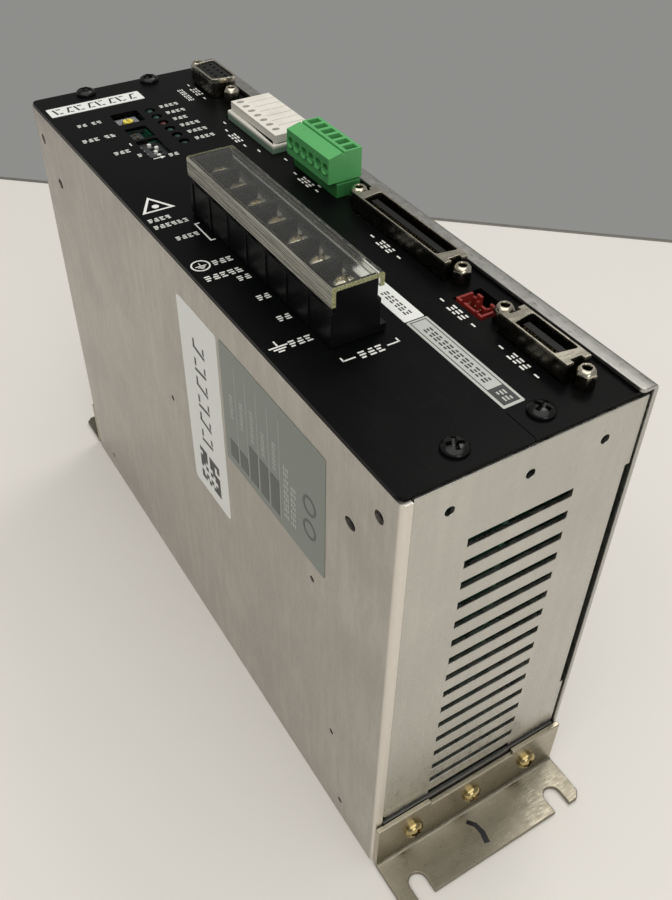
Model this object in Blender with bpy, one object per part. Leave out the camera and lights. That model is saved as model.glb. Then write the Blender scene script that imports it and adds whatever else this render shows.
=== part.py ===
"""Servo drive: a slim sheet-metal case with a black front panel of terminals, connectors and switches.

The case stands on its rear mounting plane. X points right across the front panel, Y points to the end that is
uppermost when the drive is installed, and Z points out of the front panel. The origin is the centre of the rear
plane. Sizes are in millimetres, and MM turns them into metres. A height "over the panel" is measured from the
front panel's outer face.
"""

import math

import bmesh
import bpy
from mathutils import Matrix, Vector

MM = 0.001

# Driving sizes of the case
CASE_WIDTH = 67.0
CASE_LENGTH = 213.5
CASE_DEPTH = 151.5
SHEET = 1.2
PANEL_SHEET = 1.0
REAR_SHEET = 2.0
BRACKET_SHEET = 1.6
GAP = 0.3
SHANK_CLEARANCE = 0.4
COVER_CLEARANCE = 0.5
BEND_RADIUS = 1.5

# Covers
RETURN_WIDTH = 2.6
FLANGE_WIDTH = 4.9
FLANGE_CORNER = 1.2
PANEL_CORNER = 2.0
PANEL_SETBACK = 1.2
SEAM_WIDTH = 0.2
SEAM_LENGTH = 9.5

# End plates: the air slots, the small rivet holes above them and the tab that takes the panel's screws
SLOT_COUNT = 16
SLOT_PITCH = 7.13
SLOT_LENGTH = 29.6
SLOT_HEIGHT = 2.6
SLOT_TOP_DROP = 21.2
RIVET_HOLE = 1.3
RIVET_DROP = 9.4
TAB_DEPTH = 12.0
EDGE_RELIEF = 1.2
EDGE_RELIEF_BAND = (42.4, 129.7)
END_PLATE_CORNER = 2.5
END_PLATE_INSET = 0.6
END_PLATE_CLEARANCE = 0.8

# Mounting brackets
BRACKET_HEIGHT = 21.0
BRACKET_REACH = 17.0
BRACKET_INSET = 0.2
BRACKET_HOLE_SPACING = 21.0
BRACKET_SCREW_HEIGHT = 12.0
FOOT_SLOT_OFFSET = 25.5
FOOT_SLOT_WIDTH = 5.6
FOOT_SLOT_DEPTH = 7.5
NOTCH_LENGTH = 30.0
NOTCH_DEPTH = 1.8
FOOT_CORNER = 2.0

# Screws: (shank radius, head radius, head height)
PANEL_SCREW = (1.7, 3.2, 2.2)
BRACKET_SCREW = (1.6, 3.1, 2.4)
TERMINAL_SCREW = (1.6, 3.2, 2.6)
SCREW_SIDES = 12

# Left side terminal block, TB1
POLE_PITCH = 10.0
POLES = 7
BARRIER = 1.5
TB1_FROM_LEFT = 20.1
TB1_OFFSET_Y = -23.25
TB1_HALF_WIDTH = 6.4
TB1_FLOOR = 9.5
TB1_HEIGHT = 14.9
TB1_LEDGE = (1.7, 2.3)
LOW_BARRIER_WIDTH = 3.0
TERMINAL_HOLE_DEPTH = 6.0
WASHER_CLEARANCE = 0.55
WASHER_SHEET = 0.8
COVER_SHEET = 1.2
COVER_HALF_WIDTH = 6.9
COVER_OVERHANG = 0.25
LEFT_SKIRT = 5.2
RIGHT_SKIRT = 3.6

# Pluggable terminals, TB2 and CN5
PLUG_PITCH = 3.81
HEADER_DEPTH = 9.0
PLUG_INSERTION = 5.5
TB2_POLES = 7
TB2_FROM_RIGHT = 16.0
TB2_END_FROM_TOP = 72.92
TB2_WIDTH = 13.5
TB2_END_MARGIN = 2.1
TB2_HEIGHT = 5.0
TB2_HEADER_HEIGHT = 2.3
TB2_HEADER_WIDTH = 11.9
CN5_POLES = 6
CN5_FROM_RIGHT = 17.5
CN5_END_FROM_TOP = 105.51
CN5_WIDTH = 10.8
CN5_HEIGHT = 12.6
CN5_HEADER_HEIGHT = 3.6
CN5_HEADER_WIDTH = 7.6
CN5_WELL_HEIGHT = 8.0
HEADER_WALL = 0.9

# Shielded 1.27 mm connectors, CN2 and CN4
CONTACT_PITCH = 1.27
CN2_CONTACTS = 20
CN4_CONTACTS = 50
SHELL_WIDTH = 7.0
SHELL_HEIGHT = 5.2
SHELL_DEPTH = 6.0
SOCKET_WIDTH = 6.0
SOCKET_SIDE = 1.0
TONGUE = 2.0
CN2_FROM_RIGHT = 13.4
CN2_FROM_BOTTOM = 22.95
CN4_FROM_RIGHT = 11.4
CN4_FROM_BOTTOM = 78.55

# Nine-way D connector, CN1
CN1_FROM_RIGHT = 10.6
CN1_FROM_TOP = 21.35
CN1_SCREW_SPACING = 25.0
CN1_LENGTH = 17.0
CN1_WIDTH = 8.4
CN1_HEIGHT = 6.2
CN1_FLANGE = (12.5, 30.8, 0.8)
CN1_WALL = 0.6
CN1_PIN_PITCH = (2.84, 2.77)

# Jackscrews
JACK_FLATS = 4.4
JACK_HEIGHT = 5.0
JACK_BORE = 1.3
JACK_SHANK = 1.3
JACK_CLEARANCE = 1.75

# Four-way red header, CN3
CN3_FROM_RIGHT = 14.0
CN3_FROM_BOTTOM = 45.15
CN3_SIZE = (5.9, 9.8)
CN3_WALL = 0.7
CN3_DEPTH = 7.0
CN3_CAVITY = 5.5
CN3_WINDOW_MARGIN = 0.6
CN3_WINDOW_SIDE = 2.2

# Switches and lamps behind the panel's windows
BOARD = 1.6
DISPLAY_BOARD_DROP = 4.5
SWITCH_TOP_DROP = 1.8
ROTARY_FROM_LEFT = 22.15
ROTARY_FROM_TOP = 28.35
ROTARY_BODY = 7.4
ROTOR_RADIUS = 1.6
ROTOR_TOP_DROP = 1.0
SELECTOR_FROM_LEFT = 20.3
SELECTOR_FROM_TOP = 40.25
SELECTOR_SIZE = (4.0, 7.4)
DIP_FROM_LEFT = 21.0
DIP_FROM_TOP = 50.75
DIP_BODY = (7.6, 11.7)
DIP_PITCH = 2.54
DIP_COUNT = 4
DIP_POCKET = (3.0, 1.8, 1.6)
LEVER = 1.1
LEVER_TRAVEL = 1.3
LEVERS_ON = (2,)
LED_COUNT = 6
LED_PITCH = 5.08
LED_FROM_LEFT = 30.5
LED_FROM_TOP = 26.9
LED_RADIUS = 1.3
LED_TOP_DROP = 0.8

# Pieces inside the case
POWER_BOARD_X = 2.6
CONTROL_BOARD_FROM_RIGHT = 6.0
BOARD_END_MARGIN = 8.0
BOARD_LOW = 14.0
BOARD_TOP_DROP = 12.5
SINK_BASE = 4.0
SINK_FINS = 9
FIN_SHEET = 1.8
SINK_HEIGHT = 100.0
SINK_LOW = 20.0
SINK_LENGTH = 160.0
MODULE_SIZE = (7.0, 90.0, 55.0)
MODULE_LOW = 42.0
CAPACITOR_RADIUS = 10.0
CAPACITOR_LENGTH = 45.0
CAPACITOR_SPACING = 110.0
CAPACITOR_LOW = 24.0

HALF_WIDTH = CASE_WIDTH / 2
HALF_LENGTH = CASE_LENGTH / 2
PANEL_UNDERSIDE = CASE_DEPTH - PANEL_SHEET
FLANGE_EDGE = HALF_WIDTH - FLANGE_WIDTH
END_INNER = HALF_LENGTH - SHEET
SHELF = PANEL_UNDERSIDE - GAP
DISPLAY_BOARD_TOP = CASE_DEPTH - DISPLAY_BOARD_DROP


# Outlines: lists of points in a plane


def rectangle(low_a, high_a, low_b, high_b):
    return [(low_a, low_b), (high_a, low_b), (high_a, high_b), (low_a, high_b)]


def box_about(centre_a, centre_b, size_a, size_b):
    return rectangle(
        centre_a - size_a / 2, centre_a + size_a / 2, centre_b - size_b / 2, centre_b + size_b / 2
    )


def circle(centre_a, centre_b, radius, sides=12, radius_b=None):
    points = []
    for step in range(sides):
        angle = 2 * math.pi * (step + 0.5) / sides
        points.append(
            (centre_a + radius * math.cos(angle), centre_b + (radius_b or radius) * math.sin(angle))
        )
    return points


def filleted(points, radii, segments=4):
    """The outline with the corners named in radii, as {index: radius}, turned into arcs."""
    result = []
    for index, point in enumerate(points):
        if index not in radii:
            result.append(point)
            continue
        corner = Vector(point)
        back = (Vector(points[index - 1]) - corner).normalized()
        ahead = (Vector(points[(index + 1) % len(points)]) - corner).normalized()
        half = back.angle(ahead) / 2
        reach = radii[index] / math.tan(half)
        centre = corner + (back + ahead).normalized() * (radii[index] / math.sin(half))
        start = corner + back * reach - centre
        sweep = start.angle_signed(corner + ahead * reach - centre)
        for step in range(segments + 1):
            turn = Matrix.Rotation(-sweep * step / segments, 2)
            result.append(tuple(centre + turn @ start))
    return result


def trapezoid(centre_a, centre_b, width, length, taper, radius):
    """A connector's D outline, with its shorter long side at low A."""
    half_a = width / 2
    half_b = length / 2
    points = [
        (centre_a - half_a, centre_b - half_b + taper),
        (centre_a + half_a, centre_b - half_b),
        (centre_a + half_a, centre_b + half_b),
        (centre_a - half_a, centre_b + half_b - taper),
    ]
    return filleted(points, {0: radius, 1: radius, 2: radius, 3: radius}, 3)


# Solids: closed bodies added to a bmesh

PLANES = {"X": (1, 2, 0), "Y": (0, 2, 1), "Z": (0, 1, 2)}


def place(axis, a, b, along):
    """The point whose plane coordinates are a and b, and whose coordinate on the axis is along."""
    first, second, third = PLANES[axis]
    point = [0.0, 0.0, 0.0]
    point[first] = a
    point[second] = b
    point[third] = along
    return point


def add_prism(mesh, axis, outline, low, high):
    bottom = [mesh.verts.new(place(axis, a, b, low)) for a, b in outline]
    top = [mesh.verts.new(place(axis, a, b, high)) for a, b in outline]
    mesh.faces.new(bottom)
    mesh.faces.new(top)
    for index, vert in enumerate(bottom):
        after = (index + 1) % len(bottom)
        mesh.faces.new((vert, bottom[after], top[after], top[index]))


def add_turned(mesh, axis, centre, profile, sides, direction=1):
    """A solid of revolution. The profile lists (radius, height) from one end to the other."""
    centre_a, centre_b, base = centre
    rings = []
    for radius, height in profile:
        ring = circle(centre_a, centre_b, radius, sides)
        rings.append([mesh.verts.new(place(axis, a, b, base + direction * height)) for a, b in ring])
    for lower, upper in zip(rings, rings[1:]):
        for index, vert in enumerate(lower):
            after = (index + 1) % sides
            mesh.faces.new((vert, lower[after], upper[after], upper[index]))
    mesh.faces.new(rings[0])
    mesh.faces.new(rings[-1])


# Objects


def clear_scene():
    for obj in list(bpy.data.objects):
        bpy.data.objects.remove(obj, do_unlink=True)


def make_material(name, colour, roughness, metallic=0.0, alpha=1.0):
    material = bpy.data.materials.new(name)
    material.use_nodes = True
    shader = material.node_tree.nodes["Principled BSDF"]
    shader.inputs["Base Color"].default_value = (*colour, 1.0)
    shader.inputs["Roughness"].default_value = roughness
    shader.inputs["Metallic"].default_value = metallic
    shader.inputs["Alpha"].default_value = alpha
    material.diffuse_color = (*colour, alpha)
    return material


def make_object(name, mesh, origin=(0.0, 0.0, 0.0)):
    """An object from a bmesh in millimetres, with its origin at the given point."""
    bmesh.ops.recalc_face_normals(mesh, faces=mesh.faces)
    bmesh.ops.translate(mesh, vec=-Vector(origin), verts=mesh.verts)
    bmesh.ops.scale(mesh, vec=(MM, MM, MM), verts=mesh.verts)
    data = bpy.data.meshes.new(name)
    mesh.to_mesh(data)
    mesh.free()
    obj = bpy.data.objects.new(name, data)
    obj.location = Vector(origin) * MM
    bpy.context.scene.collection.objects.link(obj)
    return obj


def make_piece(name, mesh, material, origin=(0.0, 0.0, 0.0), smooth=False):
    obj = make_object(name, mesh, origin)
    obj.data.materials.append(material)
    if smooth:
        obj.data.shade_smooth()
        obj.data.set_sharp_from_angle(angle=math.radians(40))
    return obj


def combine(obj, label, mesh, operation):
    """Cuts the solids in mesh from the object, or joins them to it."""
    helper = make_object(obj.name + "_" + label, mesh)
    helper.hide_render = True
    helper.display_type = "WIRE"
    modifier = obj.modifiers.new(label, "BOOLEAN")
    modifier.operation = operation
    modifier.object = helper


def cut(obj, label, mesh):
    combine(obj, label, mesh, "DIFFERENCE")


def join(obj, label, mesh):
    combine(obj, label, mesh, "UNION")


def plain_box(name, material, x_range, y_range, z_range):
    mesh = bmesh.new()
    add_prism(mesh, "Z", rectangle(*x_range, *y_range), *z_range)
    return make_piece(name, mesh, material)


def screw_profile(size, shank_length):
    shank, head, height = size
    return [
        (shank, -shank_length),
        (shank, 0.0),
        (head, 0.0),
        (head, 0.5 * height),
        (0.82 * head, 0.86 * height),
        (0.42 * head, height),
    ]


# Case


def make_rear_plate(metal):
    """The tray's floor, and the upturned ends that the brackets are screwed to."""
    low_x, high_x = end_plate_range()
    low = REAR_SHEET
    top = BRACKET_HEIGHT - GAP
    profile = [
        (-HALF_LENGTH, 0.0),
        (HALF_LENGTH, 0.0),
        (HALF_LENGTH, top),
        (END_INNER, top),
        (END_INNER, low),
        (-END_INNER, low),
        (-END_INNER, top),
        (-HALF_LENGTH, top),
    ]
    mesh = bmesh.new()
    add_prism(mesh, "X", filleted(profile, {0: BEND_RADIUS, 1: BEND_RADIUS}), low_x, high_x)
    plate = make_piece("rear_plate", mesh, metal)
    cuts = bmesh.new()
    for column in (-1, 0, 1):
        hole = circle(column * BRACKET_HOLE_SPACING, BRACKET_SCREW_HEIGHT, BRACKET_SCREW[0] + SHANK_CLEARANCE)
        for side in (-1, 1):
            add_prism(cuts, "Y", hole, *sorted((side * (HALF_LENGTH + 1), side * (END_INNER - 1))))
    cut(plate, "screw_holes", cuts)
    return plate


def end_plate_range():
    """The stretch of X between the covers."""
    return -HALF_WIDTH + RETURN_WIDTH + COVER_CLEARANCE, HALF_WIDTH - SHEET - COVER_CLEARANCE


def tab_range():
    """The stretch of X over which an end plate folds in under the panel, clear of the connectors."""
    return -HALF_WIDTH + 10.5, HALF_WIDTH - 20.5


def panel_screws():
    near_left = -HALF_WIDTH + 17.5
    near_right = HALF_WIDTH - 27.0
    inset = 7.2
    return [
        (near_left, -HALF_LENGTH + inset),
        (near_right, -HALF_LENGTH + inset),
        (near_left, HALF_LENGTH - 0.6 * inset),
        (near_right, HALF_LENGTH - 0.6 * inset),
    ]


def make_end_plate(name, side, metal):
    """A vented end wall. side is -1 at the lower end and 1 at the upper end."""
    low_x, high_x = end_plate_range()
    low_z = BRACKET_HEIGHT + END_PLATE_CLEARANCE
    outer = side * (HALF_LENGTH - END_PLATE_INSET)
    inner = side * (END_INNER - END_PLATE_INSET)
    tab_edge = side * (HALF_LENGTH - TAB_DEPTH)
    wall = [(outer, low_z), (outer, SHELF), (tab_edge, SHELF), (tab_edge, SHELF - SHEET)]
    wall += [(inner, SHELF - SHEET), (inner, low_z)]
    mesh = bmesh.new()
    add_prism(mesh, "X", wall, low_x, high_x)
    plate = make_piece(name, mesh, metal)
    cuts = bmesh.new()
    through = sorted((outer + side, inner - side))
    for index in range(SLOT_COUNT):
        top = CASE_DEPTH - SLOT_TOP_DROP - index * SLOT_PITCH
        slot = rectangle(-SLOT_LENGTH / 2, SLOT_LENGTH / 2, top - SLOT_HEIGHT, top)
        if top > low_z:
            add_prism(cuts, "Y", slot, *through)
    for column in (-1, 0, 1):
        x = column * BRACKET_HOLE_SPACING
        add_prism(cuts, "Y", circle(x, CASE_DEPTH - RIVET_DROP, RIVET_HOLE, 10), *through)
    corner = corner_waste(low_x, low_z, 1, 1, END_PLATE_CORNER)
    add_prism(cuts, "Y", corner, *through)
    relief = rectangle(high_x - EDGE_RELIEF, high_x + 1, *EDGE_RELIEF_BAND)
    add_prism(cuts, "Y", relief, *through)
    tab_low, tab_high = tab_range()
    beyond_tab = sorted((inner - side * GAP, tab_edge - side))
    for x_range in ((low_x - 1, tab_low), (tab_high, high_x + 1)):
        outline = rectangle(*x_range, *beyond_tab)
        add_prism(cuts, "Z", outline, SHELF - 2 * SHEET, SHELF + 1)
    for x, y in panel_screws():
        if y * side > 0:
            hole = circle(x, y, PANEL_SCREW[0] + SHANK_CLEARANCE)
            add_prism(cuts, "Z", hole, SHELF - 2 * SHEET, SHELF + 1)
    cut(plate, "openings", cuts)
    return plate


def make_left_cover(metal):
    left = -HALF_WIDTH
    lip = left + RETURN_WIDTH
    outline = [
        (lip, -HALF_LENGTH),
        (left, -HALF_LENGTH),
        (left, HALF_LENGTH),
        (lip, HALF_LENGTH),
        (lip, END_INNER),
        (left + SHEET, END_INNER),
        (left + SHEET, -END_INNER),
        (lip, -END_INNER),
    ]
    mesh = bmesh.new()
    add_prism(mesh, "Z", filleted(outline, {1: BEND_RADIUS, 2: BEND_RADIUS}), 0.0, SHELF)
    cover = make_piece("left_cover", mesh, metal)
    cuts = bmesh.new()
    holes = []
    for end in (-1, 1):
        holes.append(circle(end * (HALF_LENGTH - 7.3), CASE_DEPTH - 10.4, 1.7, 12))
        holes.append(circle(end * (HALF_LENGTH - 17.6), CASE_DEPTH - 21.7, 2.1, 12, 1.6))
        holes.append(circle(end * (HALF_LENGTH - 18.0), 8.0, 1.1, 8))
    for y, z in ((-HALF_LENGTH + 33.8, 94.7), (9.6, 94.7), (-HALF_LENGTH + 23.5, 38.5)):
        holes.append(circle(y, z, 1.0, 8))
    for hole in holes:
        add_prism(cuts, "X", hole, left - 1, left + SHEET + 1)
    cut(cover, "holes", cuts)
    return cover


def make_right_cover(metal):
    right = HALF_WIDTH
    top = CASE_DEPTH + GAP + SHEET
    outline = [
        (right - SHEET, 0.0),
        (right, 0.0),
        (right, top),
        (FLANGE_EDGE, top),
        (FLANGE_EDGE, top - SHEET),
        (right - SHEET, top - SHEET),
    ]
    mesh = bmesh.new()
    add_prism(mesh, "Y", filleted(outline, {2: BEND_RADIUS}), -HALF_LENGTH, HALF_LENGTH)
    cover = make_piece("right_cover", mesh, metal)
    cuts = bmesh.new()
    for end in (-1, 1):
        add_prism(
            cuts, "Z", corner_waste(FLANGE_EDGE, end * HALF_LENGTH, 1, -end, FLANGE_CORNER),
            CASE_DEPTH, top + 1,
        )
    cut(cover, "rounded_corners", cuts)
    return cover


def corner_waste(corner_a, corner_b, towards_a, towards_b, radius):
    """What a rounded corner loses: the square beyond the arc, and 1 mm outside the sheet."""
    points = [(corner_a - towards_a, corner_b - towards_b), (corner_a + towards_a * radius, corner_b - towards_b)]
    for step in range(5):
        angle = math.pi / 2 * step / 4
        points.append(
            (
                corner_a + towards_a * radius * (1 - math.sin(angle)),
                corner_b + towards_b * radius * (1 - math.cos(angle)),
            )
        )
    points.append((corner_a - towards_a, corner_b + towards_b * radius))
    return points


def make_front_panel(black, windows, holes):
    right = HALF_WIDTH - SHEET - GAP
    end = HALF_LENGTH - PANEL_SETBACK
    outline = rectangle(-HALF_WIDTH, right, -end, end)
    mesh = bmesh.new()
    corners = {0: PANEL_CORNER, 3: PANEL_CORNER}
    add_prism(mesh, "Z", filleted(outline, corners), PANEL_UNDERSIDE, CASE_DEPTH)
    panel = make_piece("front_panel", mesh, black)
    cuts = bmesh.new()
    seam = rectangle(-SEAM_WIDTH / 2, SEAM_WIDTH / 2, -end - 1, -end + SEAM_LENGTH)
    for outline in windows + holes + [seam]:
        add_prism(cuts, "Z", outline, PANEL_UNDERSIDE - 1, CASE_DEPTH + 1)
    for x, y in panel_screws():
        add_prism(cuts, "Z", circle(x, y, PANEL_SCREW[0] + SHANK_CLEARANCE), PANEL_UNDERSIDE - 1, CASE_DEPTH + 1)
    cut(panel, "windows", cuts)
    return panel


def make_panel_screws(black):
    profile = screw_profile(PANEL_SCREW, PANEL_SHEET + 3 * SHEET)
    for number, (x, y) in enumerate(panel_screws(), 1):
        mesh = bmesh.new()
        centre = (x, y, CASE_DEPTH + GAP)
        add_turned(mesh, "Z", centre, profile, SCREW_SIDES)
        make_piece(f"panel_screw_{number}", mesh, black, centre, smooth=True)


# Mounting brackets


def make_bracket(name, side, plated):
    inner = HALF_LENGTH + GAP
    face = inner + BRACKET_SHEET
    reach = HALF_LENGTH + BRACKET_REACH
    half = HALF_WIDTH - BRACKET_INSET
    profile = [
        (side * inner, 0.0),
        (side * inner, BRACKET_HEIGHT),
        (side * face, BRACKET_HEIGHT),
        (side * face, BRACKET_SHEET),
        (side * reach, BRACKET_SHEET),
        (side * reach, 0.0),
    ]
    mesh = bmesh.new()
    add_prism(mesh, "X", filleted(profile, {0: 1.5 * BEND_RADIUS, 3: 1.0}, 3), -half, half)
    bracket = make_piece(name, mesh, plated)
    cuts = bmesh.new()
    notch = rectangle(-NOTCH_LENGTH / 2, NOTCH_LENGTH / 2, BRACKET_HEIGHT - NOTCH_DEPTH, BRACKET_HEIGHT + 1)
    plate = sorted((side * (inner - 1), side * (face + 1)))
    add_prism(cuts, "Y", notch, *plate)
    for column in (-1, 0, 1):
        hole = circle(column * BRACKET_HOLE_SPACING, BRACKET_SCREW_HEIGHT, BRACKET_SCREW[0] + SHANK_CLEARANCE)
        add_prism(cuts, "Y", hole, *plate)
        if column:
            slot = foot_slot(column * FOOT_SLOT_OFFSET, side * reach, side)
            add_prism(cuts, "Z", slot, -1, BRACKET_SHEET + 1)
            corner = [
                (column * (half + 1), side * (reach - FOOT_CORNER - 1)),
                (column * (half + 1), side * (reach + 1)),
                (column * (half - FOOT_CORNER - 1), side * (reach + 1)),
            ]
            add_prism(cuts, "Z", corner, -1, BRACKET_SHEET + 1)
    cut(bracket, "slots", cuts)
    return bracket


def foot_slot(centre_x, edge, side):
    """A slot open at the foot's edge, with a round inner end."""
    radius = FOOT_SLOT_WIDTH / 2
    centre_y = edge - side * (FOOT_SLOT_DEPTH - radius)
    points = [(centre_x + radius, edge + side), (centre_x - radius, edge + side)]
    steps = 8
    for step in range(steps + 1):
        angle = math.pi * step / steps
        points.append((centre_x - radius * math.cos(angle), centre_y - side * radius * math.sin(angle)))
    return points


def make_bracket_screws(plated):
    profile = screw_profile(BRACKET_SCREW, BRACKET_SHEET + 3 * SHEET)
    for end, side in (("bottom", -1), ("top", 1)):
        face = side * (HALF_LENGTH + 2 * GAP + BRACKET_SHEET)
        for number, column in enumerate((-1, 0, 1), 1):
            mesh = bmesh.new()
            x = column * BRACKET_HOLE_SPACING
            add_turned(mesh, "Y", (x, BRACKET_SCREW_HEIGHT, face), profile, SCREW_SIDES, side)
            origin = (x, face, BRACKET_SCREW_HEIGHT)
            make_piece(f"{end}_bracket_screw_{number}", mesh, plated, origin, smooth=True)


# Terminal block TB1


def tb1_centre():
    return -HALF_WIDTH + TB1_FROM_LEFT, TB1_OFFSET_Y


def tb1_poles():
    centre_y = tb1_centre()[1]
    return [centre_y + (index - (POLES - 1) / 2) * POLE_PITCH for index in range(POLES)]


def make_tb1_body(black):
    x, y = tb1_centre()
    half_length = (POLES * POLE_PITCH + BARRIER) / 2
    inner_half = COVER_HALF_WIDTH - COVER_SHEET - GAP
    base = CASE_DEPTH + GAP
    floor = CASE_DEPTH + TB1_FLOOR
    top = CASE_DEPTH + TB1_HEIGHT
    ledge, ledge_height = TB1_LEDGE
    profile = [
        (x - TB1_HALF_WIDTH, base),
        (x + TB1_HALF_WIDTH + ledge, base),
        (x + TB1_HALF_WIDTH + ledge, CASE_DEPTH + ledge_height),
        (x + TB1_HALF_WIDTH, CASE_DEPTH + ledge_height),
        (x + TB1_HALF_WIDTH, floor),
        (x + inner_half, floor),
        (x + inner_half, top),
        (x - inner_half, top),
        (x - inner_half, floor),
        (x - TB1_HALF_WIDTH, floor),
    ]
    mesh = bmesh.new()
    add_prism(mesh, "Y", profile, y - half_length, y + half_length)
    body = make_piece("tb1_body", mesh, black)
    bays = bmesh.new()
    for pole in tb1_poles():
        bay = rectangle(pole - (POLE_PITCH - BARRIER) / 2, pole + (POLE_PITCH - BARRIER) / 2, floor, top + 1)
        add_prism(bays, "X", bay, x - inner_half - 1, x + inner_half + 1)
    cut(body, "pole_bays", bays)
    rest = bmesh.new()
    low = rectangle(x + inner_half - LOW_BARRIER_WIDTH, x + inner_half + 1, floor, top + 1)
    add_prism(rest, "Y", low, y - half_length + BARRIER, y + half_length - BARRIER)
    for pole in tb1_poles():
        hole = circle(x, pole, TERMINAL_SCREW[0] + SHANK_CLEARANCE)
        add_prism(rest, "Z", hole, floor - TERMINAL_HOLE_DEPTH, floor + 1)
    cut(body, "screw_holes", rest)
    return body


def make_tb1_cover(clear):
    x, y = tb1_centre()
    left = x - COVER_HALF_WIDTH
    right = x + COVER_HALF_WIDTH
    underside = CASE_DEPTH + TB1_HEIGHT + GAP
    top = underside + COVER_SHEET
    profile = [
        (left, top - LEFT_SKIRT),
        (left, top),
        (right, top),
        (right, top - RIGHT_SKIRT),
        (right - COVER_SHEET, top - RIGHT_SKIRT),
        (right - COVER_SHEET, underside),
        (left + COVER_SHEET, underside),
        (left + COVER_SHEET, top - LEFT_SKIRT),
    ]
    half_length = (POLES * POLE_PITCH + BARRIER) / 2 + COVER_OVERHANG
    mesh = bmesh.new()
    add_prism(mesh, "Y", filleted(profile, {1: 0.8, 2: 0.8}, 3), y - half_length, y + half_length)
    return make_piece("tb1_cover", mesh, clear, (x, y, underside))


def make_tb1_screws(steel):
    shank, head, height = TERMINAL_SCREW
    washer_radius = (POLE_PITCH - BARRIER) / 2 - WASHER_CLEARANCE
    washer_height = WASHER_SHEET
    profile = [
        (shank, 1.0 - TERMINAL_HOLE_DEPTH),
        (shank, 0.0),
        (washer_radius, 0.0),
        (washer_radius, washer_height),
        (head, washer_height),
        (head, washer_height + 0.5 * height),
        (0.82 * head, washer_height + 0.86 * height),
        (0.42 * head, washer_height + height),
    ]
    x = tb1_centre()[0]
    for number, pole in enumerate(tb1_poles(), 1):
        mesh = bmesh.new()
        centre = (x, pole, CASE_DEPTH + TB1_FLOOR + GAP)
        add_turned(mesh, "Z", centre, profile, SCREW_SIDES)
        make_piece(f"tb1_screw_{number}", mesh, steel, centre, smooth=True)


# Pluggable terminals


def tb2_layout():
    """The plug's X range, its Y range and its header's X range."""
    low_x = HALF_WIDTH - TB2_FROM_RIGHT
    near = HALF_LENGTH - TB2_END_FROM_TOP
    length = TB2_POLES * PLUG_PITCH + TB2_END_MARGIN
    return (low_x, low_x + TB2_WIDTH), (near, near + length), (low_x - 1.2, low_x - 1.2 + TB2_HEADER_WIDTH)


def cn5_layout():
    low_x = HALF_WIDTH - CN5_FROM_RIGHT
    near = HALF_LENGTH - CN5_END_FROM_TOP
    length = CN5_POLES * PLUG_PITCH
    header_low = low_x + 2.5
    return (low_x, low_x + CN5_WIDTH), (near, near + length), (header_low, header_low + CN5_HEADER_WIDTH)


def header_ends(y_range):
    return y_range[0] - 0.6, y_range[1] + 0.6


def header_cavity(x_range, y_range, left_wall):
    low_y, high_y = header_ends(y_range)
    return (x_range[0] + left_wall, x_range[1] - HEADER_WALL), (low_y + HEADER_WALL, high_y - HEADER_WALL)


def make_header(name, x_range, y_range, height, left_wall, material):
    """The fixed half of a pluggable terminal: an open-topped trough that rises through the panel's window."""
    top = CASE_DEPTH + height
    mesh = bmesh.new()
    add_prism(
        mesh, "Z", rectangle(*x_range, *header_ends(y_range)), CASE_DEPTH - HEADER_DEPTH, top
    )
    header = make_piece(name, mesh, material)
    cavity_x, cavity_y = header_cavity(x_range, y_range, left_wall)
    cavity = bmesh.new()
    floor = CASE_DEPTH - PLUG_INSERTION - GAP
    add_prism(cavity, "Z", rectangle(*cavity_x, *cavity_y), floor, top + 1)
    cut(header, "socket", cavity)
    return header


def add_insertion(plug, cavity_x, cavity_y, shoulder):
    mesh = bmesh.new()
    outline = rectangle(cavity_x[0] + GAP, cavity_x[1] - GAP, cavity_y[0] + GAP, cavity_y[1] - GAP)
    add_prism(mesh, "Z", outline, CASE_DEPTH - PLUG_INSERTION, shoulder + 0.5)
    join(plug, "insertion", mesh)


def make_tb2(ivory):
    plug_x, plug_y, header_x = tb2_layout()
    left_wall = 2.4
    make_header("tb2_header", header_x, plug_y, TB2_HEADER_HEIGHT, left_wall, ivory)
    shoulder = CASE_DEPTH + TB2_HEADER_HEIGHT + GAP
    top = CASE_DEPTH + TB2_HEIGHT
    mesh = bmesh.new()
    add_prism(mesh, "Z", rectangle(*plug_x, *plug_y), shoulder, top)
    plug = make_piece("tb2_plug", mesh, ivory)
    add_insertion(plug, *header_cavity(header_x, plug_y, left_wall), shoulder)
    holes = bmesh.new()
    for index in range(TB2_POLES):
        y = plug_y[1] - PLUG_PITCH / 2 - index * PLUG_PITCH
        add_prism(holes, "Z", circle(plug_x[0] + 2.35, y, 1.3, 10, 0.9), top - 4, top + 1)
    cut(plug, "wire_holes", holes)


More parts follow.
